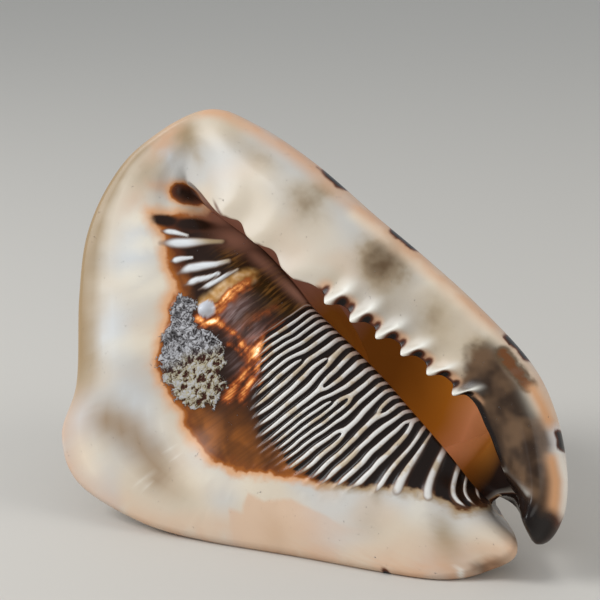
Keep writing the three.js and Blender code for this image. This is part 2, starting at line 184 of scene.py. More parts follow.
# Face, throat and hollow
MID_AT = 0.5
BEND_AT = 0.35
SWELL = 2.5
MARGIN_ROLL = 2.6
TURN_ROOM = 14
ROOM_END = 120
TUBE_LOW = 160
TUBE_HIGH = 53
TUBE_FROM_Y = 5
TUBE_SPAN_Y = 177
TUBE_LEAST = 3
CANAL_WIDTH = 1.8
CANAL_OPEN = 1.6
TUBE_START = -25
TUBE_LAST = 200
TUBE_END = 208
CANAL_DIP = 14
CANAL_SHIFT = 8.4
CANAL_DIP_END = 60
UNDERCUT = 3
THROAT_DROP = 4
LIP_RISE = 2

# How a ray finds the surface of the body
CAST_REACH = 168
CAST_STEP = 2
CAST_HALVINGS = 14

# Rounding of corners that run along rows, and of the seam: how far to each side, and passes
FLANGE_ROUNDING = (2, 3)
THROAT_ROUNDING = (2, 2)
MIDDLE_ROUNDING = (6, 14)
SEAM_ROUNDING = (7, 14)

# How the shell stands
LEAN_BACK = 24
TURNED_LEFT = 20
ROLLED = 56


def smooth(x, low, high):
    t = np.clip((np.asarray(x, float) - low) / (high - low), 0, 1)
    return t * t * (3 - 2 * t)


def within(x, start, full, falling, end):
    """Rises from start to full, and falls again from falling to end."""
    return smooth(x, start, full) * (1 - smooth(x, falling, end))


def lerp(a, b, t):
    return a + (b - a) * t


def bell(x, width):
    return np.exp(-(np.asarray(x, float) / width) ** 2)


def around(column, s):
    """A smooth curve through one column of the stations, which closes on itself."""
    values = np.array([station[column] for station in STATIONS], float)
    i = np.floor(s).astype(int)
    t = s - i
    if values.ndim > 1:
        t = t[..., None]
    a, b, c, d = (values[(i + k) % COUNT] for k in (-1, 0, 1, 2))
    cubic = 3 * b - a - 3 * c + d
    return 0.5 * (2 * b + (c - a) * t + (2 * a - 5 * b + 4 * c - d) * t ** 2 + cubic * t ** 3)


def angle_at(s):
    angles = [station[DIRECTION] for station in STATIONS]
    return np.radians(np.interp(s % COUNT, np.arange(COUNT + 1), angles + [angles[0] - 360]))


def lip_share(s):
    """1 on the outer lip, 0 on the columella side, in between at the two ends."""
    posterior = 0.5
    lip = (1 - smooth(s, LIP_END, SHIELD_START)) * lerp(posterior, 1, smooth(s, 0, 1.5))
    return np.where(s > SHIELD_START, posterior * smooth(s, COUNT - 2, COUNT), lip)


def axis_z(y):
    return AXIS_Z + AXIS_SLOPE * y


def growth(turn):
    """Growth of the whorl, 1 at the lip and less with each turn back from it."""
    coiled = WHORL_GROWTH ** (-np.minimum(turn, CLOSED_TURN) / 360)
    grown = WHORL_GROWTH ** ((360 - OPEN_TURN) / 360)
    return lerp(coiled, grown, smooth(turn, CLOSED_TURN, OPEN_TURN))


def whorl_radius(y, g):
    return g * np.interp((APEX_Y - y) / g, PROFILE_FROM, PROFILE_RADIUS, left=0, right=0)


def turn_of(p):
    turn = np.degrees(np.arctan2(axis_z(p[..., 1]) - p[..., 2], p[..., 0] - AXIS_X))
    return np.where(turn < -60, turn + 360, turn)


def knob_height(turn, u, r, g):
    height = np.zeros_like(r)
    for start, tall, wide, first, count in KNOB_ROWS:
        for k in range(count):
            away = np.radians(turn - first - KNOB_STEP * k) * r
            height += tall * g * bell(np.hypot(away, u - start * g), wide * g)
    beside = np.radians(turn - HORN_TURN) * r
    return height + HORN_HEIGHT * bell(np.hypot(beside, u - HORN_FROM), HORN_WIDTH)


def spire_bulge(turn, u, g):
    whorls = np.log(np.maximum(u, 1) / (SUTURE_AT * g)) / math.log(WHORL_GROWTH)
    part = whorls - np.floor(whorls)
    lobes = np.maximum(0, np.cos(np.radians(turn) * NODULES_PER_TURN)) ** 2
    bulge = WHORL_BULGE * np.sin(np.pi * part) ** 0.7 + NODULE_BULGE * lobes * bell(part - 0.65, 0.2)
    return np.where(whorls > 0, 0, u * bulge)


def depth_in_body(p):
    """How deep a point lies in the body whorl, negative outside it."""
    turn = turn_of(p)
    g = growth(turn)
    u = APEX_Y - p[..., 1]
    r = np.hypot(p[..., 0] - AXIS_X, p[..., 2] - axis_z(p[..., 1]))
    body = whorl_radius(p[..., 1], g) + knob_height(turn, u, r, g) + spire_bulge(turn, u, g) - r
    way = SNOUT_TIP - SNOUT_ROOT
    t = np.clip((p - SNOUT_ROOT) @ way / (way @ way), 0, 1)
    nearest = SNOUT_ROOT + t[..., None] * way
    snout = lerp(SNOUT_ROOT_RADIUS, SNOUT_TIP_RADIUS, t) - np.linalg.norm(p - nearest, axis=-1)
    return SNOUT_BLEND * np.logaddexp(body / SNOUT_BLEND, snout / SNOUT_BLEND)


def cast_out(start, way):
    """The farthest point of the body along each ray."""
    far = np.full(way.shape[:-1], float(CAST_REACH))
    searching = np.ones_like(far, bool)
    for _ in range(CAST_REACH // CAST_STEP):
        searching &= depth_in_body(start + way * far[..., None]) < 0
        if not searching.any():
            break
        far = np.where(searching, far - CAST_STEP, far)
    low = np.maximum(far, 0)
    high = low + CAST_STEP
    for _ in range(CAST_HALVINGS):
        half = (low + high) / 2
        inside = depth_in_body(start + way * half[..., None]) > 0
        low = np.where(inside, half, low)
        high = np.where(inside, high, half)
    return start + way * low[..., None]


def neck_points(s):
    angle = angle_at(s)
    level = np.tile(CENTRE, (len(s), 1))
    level[:, 2] = around(NECK, s)
    return cast_out(level, np.stack([np.cos(angle), np.sin(angle), np.zeros_like(angle)], -1))


def back_points(s, share):
    """Rows of the back, from its end behind the centre, share 0, to the neck, share 1."""
    neck = neck_points(s) - CENTRE
    flat = np.hypot(neck[:, 0], neck[:, 1])
    tilt = np.arctan2(flat, -neck[:, 2]) * share[:, None]
    way = np.stack([
        neck[:, 0] / flat * np.sin(tilt), neck[:, 1] / flat * np.sin(tilt), -np.cos(tilt)], -1)
    return cast_out(CENTRE, way)


def edge_scale(s):
    """How thick the edge is: thinner round the canal."""
    canal = within(s, LIP_END - 0.6, LIP_END + 0.6, SHIELD_START - 0.7, SHIELD_START + 0.4)
    return 1 - (1 - CANAL_EDGE) * canal


def edge_points(s, turn):
    """The rounded edge: turn runs from -90 degrees at its back to 90 at its front."""
    rim = around(RIM, s)
    inward = around(MID, s) - rim
    inward /= np.linalg.norm(inward, axis=-1, keepdims=True)
    angle = np.radians(turn)[:, None, None]
    thick = np.where(turn < 0, EDGE_BACK, EDGE_FRONT)[:, None, None]
    scale = edge_scale(s)[:, None]
    inset = EDGE_INSET * (1 - np.cos(angle)) * scale * inward
    return rim + inset - thick * np.sin(angle) * scale * around(BACK_WAY, s)


def flange_points(s, share):
    neck = neck_points(s)
    edge = edge_points(s, np.array([-90.0]))[0]
    points = lerp(neck, edge, share[:, None, None])
    points[..., 2] += FLANGE_SWELL * np.sin(np.pi * share)[:, None] * edge_scale(s)
    return points


def tooth_at(s, teeth, width=TOOTH_WIDTH):
    return sum(bell(s - at, width) for at in teeth)


def hooked(s, t):
    """The station that the ridge of a tooth follows, because it hooks over at the mouth."""
    return s - TOOTH_HOOK * (1 - smooth(t, 0.78, 1))


def tooth_ridges(s, t):
    """How high the teeth stand: ridges that rise on the face and end at the mouth."""
    t = t[:, None]
    width = lerp(RIDGE_WIDTH, TOOTH_WIDTH, smooth(t, 0.65, 0.97))
    high = tooth_at(hooked(s, t), TEETH, width) * smooth(t, 0.48, 0.88)
    return high + LOW_TOOTH * tooth_at(hooked(s, t), LOW_TEETH, LOW_TOOTH_WIDTH) * smooth(t, 0.45, 0.9)


def read_off(values, pairs):
    """Values read off a line through some pairs."""
    return np.interp(values, [pair[0] for pair in pairs], [pair[1] for pair in pairs])


def fold_origin(s, v):
    """The station at which the fold through each point meets the mouth, where v is 1."""
    away = 1 - v
    origin = s + 0 * v
    bend = FOLD_BEND[0] * away - FOLD_BEND[1] * away ** 2
    for _ in range(ORIGIN_PASSES):
        drift = read_off(origin, FOLD_DRIFTS) * bend
        hook = FOLD_HOOK * smooth(away, 0, 0.08) * smooth(origin, 17.2, 17.6)
        origin = s + drift - hook
    return origin


def recess_at(s):
    """How far the lip's edge is drawn back: nothing at a tooth, and most just below it."""
    after = np.full(len(s), 9.0)
    for at in LOW_TEETH + TEETH:
        after = np.where(s >= at, s - at, after)
    low = 1 - smooth(s, LOW_TEETH[-1], TEETH[0])
    gap = 1 - np.minimum(1, tooth_at(s, TEETH) + tooth_at(s, LOW_TEETH))
    reach = lerp(gap, 0.8 * within(after, 0, 0.36, 0.38, 0.7), low)
    overhang = LIP_OVERHANG * within(s, 0.2, 1, 6, 8) * (1 - 0.6 * smooth(s, 5, 6))
    return TOOTH_REACH * reach * within(s, 0, 0.8, *RECESS_END) - overhang


def face_points(s, t):
    """The face without its folds: share t runs from the outer edge, 0, to the mouth, 1."""
    edge = edge_points(s, np.array([90.0]))[0]
    mid = around(MID, s)
    mouth = around(MOUTH, s)
    lip = np.where(s < LIP_END, 1 - smooth(s, LIP_END - 1, LIP_END), smooth(s, COUNT - 2, COUNT))
    mouth[:, 0] += lip * recess_at(s)
    run = mouth - mid
    u = np.clip(t / MID_AT, 0, 1)[:, None, None]
    bend = mid - BEND_AT * run
    outer = edge * (1 - u) ** 2 + bend * 2 * u * (1 - u) + mid * u ** 2
    v = np.clip((t - MID_AT) / (1 - MID_AT), 0, 1)[:, None]
    inner = mid + run * v[..., None]
    inner[..., 2] += SWELL * (1 - lip) * np.sin(np.pi * v) ** 2
    points = np.where((t < MID_AT)[:, None, None], outer, inner)
    shape = bpy.context.scene.shell_shape
    points[..., 2] += lip * shape.tooth_height / MM * tooth_ridges(s, t)
    return points


def tube_points(s, turn):
    """The hollow of the last whorl: a section that turns about the axis and shrinks."""
    turn = turn[:, None]
    g = growth(turn)
    along = np.clip((around(MOUTH, s)[:, 1] - TUBE_FROM_Y) / TUBE_SPAN_Y, 0, 1)
    y = APEX_Y - g * lerp(TUBE_LOW, TUBE_HIGH, along)
    outer = whorl_radius(y, g) - WALL
    room = TURN_ROOM * (1 - smooth(turn, TUBE_START, ROOM_END))
    previous = whorl_radius(y, g / WHORL_GROWTH) + WALL - room
    inner = np.minimum(np.maximum(COLUMELLA * g, previous), outer - TUBE_LEAST)
    r = lerp(inner, outer, lip_share(s))
    dip = bell(s - CANAL, CANAL_WIDTH) * (1 - smooth(turn, TUBE_START, CANAL_DIP_END))
    x = AXIS_X + r * np.cos(np.radians(turn)) - CANAL_SHIFT * dip
    z = axis_z(y) - r * np.sin(np.radians(turn)) - CANAL_DIP * dip
    return np.stack([x, y, z], -1)


def throat_points(s, share, mouth):
    lip = lip_share(s)
    open_side = 1 - bell(s - CANAL, CANAL_OPEN)
    tube = tube_points(s, np.array([float(TUBE_START)]))[0]
    sag = np.sin(np.pi * share)[:, None]
    points = lerp(mouth, tube, share[:, None, None])
    points[..., 0] += sag * lerp(-UNDERCUT, 0, lip) * open_side
    points[..., 2] += sag * lerp(-THROAT_DROP, LIP_RISE, lip) * open_side
    return points


# Layout of the mesh. Each run is (from, to, steps); the stations of the columns lie closest
# where the teeth and the folds are.
COLUMN_RUNS = [
    (0, 3.28, 58), (3.28, 6.28, 90), (6.28, 10, 34), (10, FOLDS_FROM, 26),
    (FOLDS_FROM, FOLDS_WIDE_TO, 36), (FOLDS_WIDE_TO, FOLDS_TO, 168), (FOLDS_TO, UPPER_FROM, 40),
    (UPPER_FROM, UPPER_TO, 45), (UPPER_TO, COUNT, 36),
]
BACK_RUNS = [(0, 1, 54)]
FLANGE_SHARES = np.array([0.2, 0.4, 0.6, 0.8])
EDGE_RUNS = [(-90, 90, 8)]
FACE_RUNS = [(0, 0.26, 9), (0.26, 0.5, 22), (0.5, 1, 42)]
THROAT_RUNS = [(0, 1, 9)]
TUBE_RUNS = [(TUBE_START, TUBE_LAST, 18)]

# How far one seed of the noise lies from the next
SEED_STEP = 17.3


def spread(runs):
    """The values of some runs, joined end to end."""
    parts = [np.linspace(low, high, steps, endpoint=False) for low, high, steps in runs]
    return np.concatenate(parts + [[float(runs[-1][1])]])


def scattered(points, size, seed, value):
    """What value gives at each point. The points are scaled by size and moved by a seed."""
    places = points.reshape(-1, 3) / size + seed * SEED_STEP
    return np.array([value(Vector(place)) for place in places]).reshape(points.shape[:-1])


def lumps(points, size, seed):
    """Soft noise from about -1 to 1 at each point. size is the size of its lumps, in mm."""
    return scattered(points, size, seed, lambda place: noise.fractal(place, 1.0, 2.0, 3))


def wall_gap(place):
    near = noise.voronoi(place)[0]
    return near[1] - near[0]


def lace(points, size, seed):
    """Bright on the walls between cells, dark in the cells."""
    return 1 - smooth(scattered(points, size, seed, wall_gap), 0.08, 0.34)


def to_stretch(x, y, start, end):
    """The distance to a straight stretch, and the share of it where it is nearest."""
    way_x = end[0] - start[0]
    way_y = end[1] - start[1]
    share = ((x - start[0]) * way_x + (y - start[1]) * way_y) / (way_x ** 2 + way_y ** 2)
    share = np.clip(share, 0, 1)
    return np.hypot(x - start[0] - share * way_x, y - start[1] - share * way_y), share


def depth_in_outline(x, y, outline):
    """Distance from the edge of an outline, positive inside it."""
    inside = np.zeros(x.shape, bool)
    nearest = np.full(x.shape, np.inf)
    for start, end in zip(outline, outline[1:] + outline[:1]):
        if start[1] != end[1]:
            slope = (end[0] - start[0]) / (end[1] - start[1])
            crosses = (start[1] > y) != (end[1] > y)
            inside ^= crosses & (x < start[0] + (y - start[1]) * slope)
        nearest = np.minimum(nearest, to_stretch(x, y, start, end)[0])
    return np.where(inside, nearest, -nearest)


def along_path(x, y, path, width):
    """1 on a path, fading over its width."""
    away = [to_stretch(x, y, start, end)[0] for start, end in zip(path, path[1:])]
    return bell(np.minimum.reduce(away), width)


def along_taper(x, y, path, width):
    """Like along_path, but widest in the first third of the path and thin at its end."""
    lengths = [math.dist(start, end) for start, end in zip(path, path[1:])]
    strongest = np.zeros(x.shape)
    done = 0
    for start, end, length in zip(path, path[1:], lengths):
        away, part = to_stretch(x, y, start, end)
        share = (done + part * length) / sum(lengths)
        local = width * lerp(0.8, 1, smooth(share, 0, 0.2)) * lerp(1, 0.5, smooth(share, 0.3, 1))
        strongest = np.maximum(strongest, bell(away, local) * lerp(0.3, 1, smooth(share, 0, 0.28)))
        done += length
    return strongest


def spots(x, y, marks):
    """Soft ovals. Each mark is (x, y, length, width, turn in degrees, strength)."""
    total = np.zeros(x.shape)
    for mark_x, mark_y, length, width, turn, strength in marks:
        angle = math.radians(turn)
        along = (x - mark_x) * math.cos(angle) + (y - mark_y) * math.sin(angle)
        across = (y - mark_y) * math.cos(angle) - (x - mark_x) * math.sin(angle)
        total = np.maximum(total, strength * bell(np.hypot(along / length, across / width), 1))
    return total


# Marks on the face, in the shell's own X and Y
STAIN_OUTLINE = [
    (1.5, 184.5), (-0.6, 177.8), (-2.4, 171.3), (-6.5, 167.5), (-10, 163), (-11.5, 157.6), (-14.5, 154.5),
    (-19.5, 154), (-23.4, 150.5), (-29.1, 148), (-34.1, 144.9), (-39.8, 141.2), (-43.5, 135.5),
    (-46, 127.8), (-46.8, 121), (-49.8, 117), (-51.4, 109.3), (-51.2, 97.5), (-48.7, 89.5), (-40.2, 76.1),
    (-33, 64.4), (-27.4, 56.7), (-20.8, 48), (-14.6, 39.6), (-8.9, 30.8), (-5.3, 22.2), (-5.1, 16.6),
    (1.1, 10.5), (16, 10), (40, 60), (40, 160), (22, 172), (13.8, 170),
]
CRUST_OUTLINE = [
    (-14.7, 152.5), (-12.3, 144.9), (-17.1, 142.1), (-19, 137), (-16.4, 131.6), (-17.1, 126.6),
    (-20, 121), (-25.8, 119), (-27.1, 114.6), (-32.2, 113.1), (-36.4, 112.3), (-37.5, 115.9),
    (-42, 117.8), (-43.8, 121.6), (-42.5, 126.6), (-41.5, 133), (-38, 139.5), (-33.1, 143.1),
    (-29.4, 147.1), (-23.8, 146.4), (-20.4, 150.8),
]
PEARL = (-11.2, 140.1)
PEARL_SIZE = 3.1
# The pit: sunk, and darkened with the stain as painted shade in the hole
PIT = [(16, 180.3, 7.5, 5.2, -65, 1)]
PIT_DEPTH = 2.5

# The stain's value off the patch, and how far soft noise sways the edges of marks
NO_STAIN = -0.3
SWAY = 1.3

# Veins: a path, its width and how brightly it glows, a painted glow of light shining through
VEINS = [
    ([(-12.1, 133.9), (-12, 129), (-11.2, 123.8), (-12.5, 118), (-12.9, 114.2)], 1.3, 0.62),
    ([(-15.7, 124.3), (-14.6, 118.7), (-13.7, 114.1)], 1.1, 0.42),
    ([(-10.6, 113.2), (-9, 113.1)], 3, 1),
    ([(-10.6, 113.2), (-11, 109.5)], 2.2, 0.85),
    ([(-11.5, 114), (-18, 112.1), (-23, 111.6), (-27, 110.6), (-31, 110)], 1.7, 0.64),
    ([(-12.1, 109.1), (-17.4, 108.4), (-22.4, 107.5), (-26.9, 106.3)], 1.5, 0.68),
    ([(-12.9, 107.1), (-18.6, 104)], 1.5, 0.4),
    ([(-5.1, 115.2), (-1.2, 115.1), (2.1, 113.4)], 2.2, 0.56),
    ([(-6.5, 124.3), (0.2, 123.2), (5.4, 121)], 2, 0.28),
    ([(-11.1, 137.6), (-6.6, 137.8), (-3, 137.8), (0.7, 138), (5, 136.8)], 2.2, 0.72),
    ([(-4.5, 138), (-1.5, 138)], 1.6, 0.95),
    ([(-16.2, 139.8), (-15.3, 136.4), (-12, 134.4)], 1.5, 0.9),
]
VEIN_SWAY = 0.9
VEIN_CORE = 0.9
VEIN_HALO = 2.7
GOLD_BAND = [(-10, 141.6), (-4, 141.2), (1.5, 141), (6, 139.8), (8, 138.4)]
GOLD_WIDTH = 3.5

# Folds above the crust: a path from the patch's edge to the mouth, and a width
UPPER_FOLDS = [
    ([(-0.6, 175.3), (2.1, 171.8), (4.5, 167.1)], 1.15),
    ([(-4.2, 172), (1.9, 165.5), (7.1, 160.5), (11.1, 156.5)], 2),
    ([(-6.8, 163.8), (-3.5, 161.7), (-0.7, 159.5)], 1.3),
    ([(-8.4, 158.2), (-4.1, 156.7), (-0.2, 153.9), (3.5, 150.6), (7.4, 148.3)], 1.85),
    ([(-10, 152.8), (-5.7, 151.3), (-2.1, 149), (1.7, 147.2)], 1.35),
    ([(-8, 147.7), (-3.6, 146.4), (0.3, 145.1), (7.4, 143.4)], 1),
]

# Where a fold forks: x, y, and which way
FORKS = [
    (6.6, 52.9, -1), (-2, 98.7, -1), (-4.4, 85.4, 1), (-1, 75, -1), (-12, 68, -1), (3, 63, 1),
    (4, 92, -1), (-6, 79, -1),
]

# Soft spots: x, y, length, width, turn in degrees, strength
ROUGH_SPOTS = {
    "amber": [
        (-47, 107, 10, 9, 90, 1), (-42, 92, 13, 8, 60, 1), (-34, 76, 13, 7, 60, 1),
        (-24, 58, 9, 3, 60, 0.8), (-12, 160, 5, 3, 90, 0.9), (-15, 151.5, 6, 3.5, 60, 1),
        (-9, 154, 4, 2, 60, 0.7), (11, 177, 5, 2.4, -60, 1), (-46, 127, 8, 3.5, 80, 1),
        (-44, 116, 6, 5, 60, 0.9), (-31, 146, 9, 2.6, 30, 0.8), (-6, 126, 5, 2, -10, 0.5),
    ],
    "olive": [
        (8, 132, 9, 7, 90, 1), (9, 148, 5, 4, 90, 0.8), (9, 114, 9, 5, 90, 0.8), (2, 108, 6, 4, 60, 0.4),
    ],
    "lilac": [
        (-7.5, 132.5, 4.5, 4, 0, 1), (-1.7, 131, 5, 3.5, 0, 0.7), (-6.5, 119.6, 5, 2.4, 0, 0.8),
        (-19, 116, 3, 5, 0, 0.3), (-8.5, 126, 5, 3, 0, 0.8),
    ],
    # Pale spots: paler parts of the callus; the one at (-84, 138) is a painted highlight on the rolled bulge
    "pale": [
        (-8, 176, 9, 4, -40, 0.8), (-20, 163, 10, 4, -30, 0.7), (-38, 152, 12, 5, -40, 0.75),
        (-84, 138, 10, 6, 60, 1), (-1, 184, 8, 4, -40, 0.9), (-21, 171, 8, 5, -40, 0.8),
        (-58, 97, 12, 6, -50, 0.7), (-50, 84, 9, 5, -50, 0.5), (-56, 124, 8, 4, 80, 0.5),
        (-13, 27, 8, 5, 60, 0.5),
    ],
}
CLEAR_SPOTS = {
    "rosy": [
        (16, 167, 8, 4.5, -70, 1), (14.5, 155, 9, 4.5, -80, 1), (15, 141, 9, 2.4, 90, 0.8),
        (14.6, 122, 11, 2, 90, 0.8), (14, 104, 12, 2.2, 90, 0.8),
    ],
    "dark_upper": [
        (3, 178, 7, 3, -55, 1), (9, 169, 9, 3.2, -50, 1), (2, 162, 6, 1.4, -45, 0.8),
        (-1, 156.6, 5, 1.1, -40, 0.7),
    ],
}
SMUDGES = [
    (46, 161, 13, 6, 90, 0.33), (43.5, 134, 11, 9, 70, 0.5), (45.5, 96, 12, 9, 60, 0.92),
    (42, 68, 10, 8, 40, 0.42), (50, 134, 8, 7, 0, 0.45), (52, 97, 11, 7, 60, 0.75), (35, 84, 9, 7, 40, 0.25),
    (44.5, 43, 9, 8, 60, 0.8), (46.8, 34, 9, 3.2, 75, 0.8),
]
MOTTLE_OUTLINE = [
    (24, 43), (32, 45), (42, 49), (47.5, 43), (45.5, 34), (44, 27), (41, 17), (35.5, 5), (28.5, -2.2),
    (21.5, -8), (14, -12.5), (4, -15), (6, 10), (12, 30), (18, 40),
]
BLACK_PATH = [(12.8, 11), (12, 4), (11.5, -3), (10, -9)]
BLACK_WIDTH = 4.6
BLACK = [(10, -11, 6.8, 5.2, 0, 1), (-38, 20, 2.2, 1.3, 60, 1)]
BROWN_TIP = [(-12, -5.3, 7.5, 3.2, -35, 0.9)]
PALE_NICK = [(-20.2, 0.3, 2.2, 0.9, 30, 1)]
BAR_STATIONS = [(2.35, 0.34), (3.62, 0.55), (5.75, 0.5), (7.5, 0.36)]
RUST_BAR = [(48, 40.5), (47.3, 35.5), (46.2, 30.5), (45.4, 26)]
RUST_WIDTH = 2.5
GREY_BAR = [(39.8, 9.3), (34.6, 3.3)]
GREY_WIDTH = 2
GLOW_STRIPS = [[(31, 2.5), (26.1, -3.5), (21.9, -6.9), (16.2, -10.6)], [(45.4, 24), (42.6, 17), (40, 12)]]
GLOW_WIDTH = 1.9
# Painted shade in the valley inside the rolled left margin of the shield
VALLEY = [(-68, 142), (-66, 131), (-66.5, 119), (-68.5, 111)]
VALLEY_WIDTH = 6.5
# Tan spots: olive tan marks of the callus; the large one on the lower lip at (38, 82) is painted shade
TAN = [
    (34, 194, 8, 6, 50, 0.9), (31, 186, 6, 3, 60, 0.5), (12, 196, 8, 5, 0, 0.45), (-68, 101, 9, 6, 80, 0.3),
    (-14, 13, 11, 5, 60, 0.75), (-28, 38, 9, 6, 60, 0.25), (46, 176, 12, 5, 70, 0.35),
    (38, 82, 18, 11, 80, 0.4), (40, 62, 14, 9, 70, 0.4), (-55, 62, 8, 5, 60, 0.3), (-20, 44, 8, 3, 60, 0.4),
]
# Cool spots: the callus's bluish grey tone. The spot at (22.7, 194) and the one at (-74, 149) on the bulge
# are painted highlights
COOL = [
    (-12, 179.5, 14, 8, 30, 0.9), (-42, 164, 16, 9, 30, 0.9), (22.7, 194, 4.2, 2.8, 40, 1),
    (-74, 149, 8, 5, 60, 0.8), (-56, 132, 16, 5, 80, 0.7), (-8, 22, 9, 5, 60, 0.7), (24, 189, 5, 4, 0, 0.4),
]
WARM_SPOTS = [
    (12, 189, 5, 3, -50, 0.7), (1, 192, 7, 4, 0, 0.35), (-2, -9, 7, 3.5, 60, 0.8), (27, 199, 10, 4, 0, 0.9),
]
WARM_OUTLINE = [
    (-66, 76), (-60, 82), (-58, 77), (-51, 80), (-49, 73), (-42, 66), (-36, 46), (-24, 22),
    (-18, 6), (-8, -8), (-20, -14), (-50, 20), (-80, 60),
]
STREAK = [(17, 19), (15, 11), (15.2, 5), (15.6, 0)]
STREAK_WIDTH = 1.5
# Painted highlight: a bright strip along the lip's outer margin, where it faces the light
BRIGHT_MARGIN = [(52.5, 118), (53.5, 96), (53, 62), (50, 38), (47.5, 27), (43, 17)]
PALE_STRIP = [(33, 2), (28.3, -5), (22.5, -9.8), (17, -12.6)]
PALE_STRIP_WIDTH = 2.1
ROUND_SCARS = [(-60.4, 113), (-74.2, 113.8)]
SCAR_SIZE = 2.2
SCAR_WIDTH = 0.45


class Face:
    """The points of the edge and the face, with what lies on them as values from 0 to 1."""

    def __init__(self, points, s, t):
        self.points = points
        self.x = points[..., 0]
        self.y = points[..., 1]
        self.s = s
        self.t = t[:, None]
        self.rough = lumps(points, 9, 1)
        self.fine = lumps(points, 3, 2)
        self.lip = np.where(s < CANAL, 1, 0)
        self.shield = np.where(s < CANAL, 0, 1 - smooth(s, COUNT - 0.7, COUNT))
        self.masks = {}

    def swayed(self, x_sway=SWAY, y_sway=None):
        """X and Y moved by soft noise, so that a mark gets an uneven edge."""
        y_sway = x_sway if y_sway is None else y_sway
        return self.x + x_sway * self.rough, self.y + y_sway * self.fine

    def on_shield(self, name, value):
        self.masks[name] = value * self.shield

    def on_lip(self, name, value):
        self.masks[name] = value * self.lip


def mark_patch(face):
    """The brown patch with the crust, the veins and the folds above them."""
    x = face.x
    y = face.y
    depth = depth_in_outline(*face.swayed(), STAIN_OUTLINE) + 0.6 * face.fine
    full_depth = lerp(12, 17, smooth(y, 142, 154))
    stain = lerp(NO_STAIN, np.clip(depth / full_depth, NO_STAIN, 1), face.shield)
    face.pit = spots(*face.swayed(0.5), PIT) * face.shield
    # The pit takes the stain: painted shade in the hole
    face.masks["stain"] = np.maximum(stain, 0.76 * smooth(face.pit, 0.04, 1) + NO_STAIN)
    for name, marks in ROUGH_SPOTS.items():
        face.on_shield(name, spots(*face.swayed(), marks))
    for name, marks in CLEAR_SPOTS.items():
        face.on_shield(name, spots(x, y, marks))
    crust_depth = depth_in_outline(*face.swayed(1.4, 2.2), CRUST_OUTLINE)
    face.on_shield("crust", smooth(crust_depth, -2, 1.6))
    face.masks["low_crust"] = 1 - smooth(y + 3 * face.rough + 0.5 * x, 113, 121)
    vein_x = x + VEIN_SWAY * face.fine
    vein_y = y + VEIN_SWAY * face.rough
    vein_glow = np.zeros(x.shape)
    for path, width, glow in VEINS:
        core = along_path(vein_x, vein_y, path, VEIN_CORE * width)
        halo = along_path(vein_x, vein_y, path, VEIN_HALO * width)
        vein_glow = np.maximum(vein_glow, glow * (0.58 * core + 0.42 * halo) * (0.9 + 0.25 * face.fine))
    face.on_shield("vein", vein_glow)
    face.on_shield("gold", along_path(*face.swayed(0.5, 0.4), GOLD_BAND, GOLD_WIDTH))
    folds = [along_taper(x, y, path, width) for path, width in UPPER_FOLDS]
    face.on_shield("upper_fold", np.maximum.reduce(folds))


def tooth_hollows(s):
    """The dark hollows beside each tooth: a large one below it and a small one above the next."""
    return np.minimum(1, sum(bell(s - at - 0.16, 0.08) + 0.8 * bell(s - at + 0.15, 0.06) for at in TEETH))


def mark_black(face):
    """The black of the hollows, the creases, the tip and the bars on the lip, and painted shade in the canal.
    """
    s = face.s
    t = face.t
    tooth = np.minimum(1, tooth_at(s, TEETH))
    toothed = within(s, *TOOTHED)
    face.masks["halo"] = (1 - tooth) * toothed * smooth(t, 0.74, 0.93)
    hollows = tooth_hollows(s) * smooth(t + 0.01 * face.rough, 0.82, 0.95)
    bars = sum(bell(s - at + 0.05 * face.rough, width) ** 4 for at, width in BAR_STATIONS)
    black = [
        toothed * np.maximum(hollows, 0.62 * (1 - tooth) * smooth(t, 0.9, 0.99)),
        within(s, 6.2, 6.5, 7.8, 8.8) * smooth(t, 0.84, 0.97),
        0.5 * tooth_at(s - 0.1, LOW_TEETH, 0.1) * smooth(t, 0.94, 1) * face.lip,
        0.4 * bell(t - 0.9 - 0.2 * (s - 0.7), 0.028) * within(s, 0.65, 0.95, 1.05, 1.25) * face.lip,
        # Painted shade in the canal's gap
        0.85 * within(s, 9.8, 10.6, 13.3, 14) * smooth(t, 0.35, 0.7),
        along_path(*face.swayed(0.6), BLACK_PATH, BLACK_WIDTH) * face.lip,
        spots(*face.swayed(0.6), BLACK),
        smooth(bars + 0.2 * face.rough, 0.15, 0.7) * (1 - smooth(t + 0.01 * face.fine, -0.035, 0.004)),
    ]
    face.masks["black"] = np.clip(np.maximum.reduce(black), 0, 1)


def mark_lip(face):
    """Smudges, pale crests and strips, a painted highlight along the outer margin, bars and the mottled lower
    end of the lip.
    """
    x = face.x
    y = face.y
    face.on_lip("smudge", spots(*face.swayed(), SMUDGES))
    mottle = smooth(depth_in_outline(*face.swayed(), MOTTLE_OUTLINE), -5, 4) * face.lip
    face.masks["mottle"] = np.maximum(mottle, spots(*face.swayed(), BROWN_TIP) * face.shield)
    crest = tooth_at(hooked(face.s, face.t) + 0.03, TEETH, 0.08) * smooth(face.t, 0.58, 0.85)
    streak = along_path(x, y, STREAK, STREAK_WIDTH)
    strip = along_path(x, y, PALE_STRIP, PALE_STRIP_WIDTH)
    white = np.maximum.reduce([crest, streak, strip]) * face.lip + spots(x, y, PALE_NICK) * face.shield
    face.masks["white"] = np.clip(white, 0, 1)
    # Painted highlight along the outer margin, weaker under the smudges
    margin = along_path(x, y, BRIGHT_MARGIN, lerp(3.6, 2.8, smooth(y, 24, 34)))
    face.on_lip("margin_highlight", margin * (1 - 0.6 * face.masks["smudge"]))
    face.on_lip("rust", along_path(*face.swayed(0.4, 0), RUST_BAR, RUST_WIDTH))
    face.on_lip("grey_bar", along_path(x, y, GREY_BAR, GREY_WIDTH))
    face.on_lip("glow_strip", np.maximum.reduce([along_path(x, y, path, GLOW_WIDTH) for path in GLOW_STRIPS]))


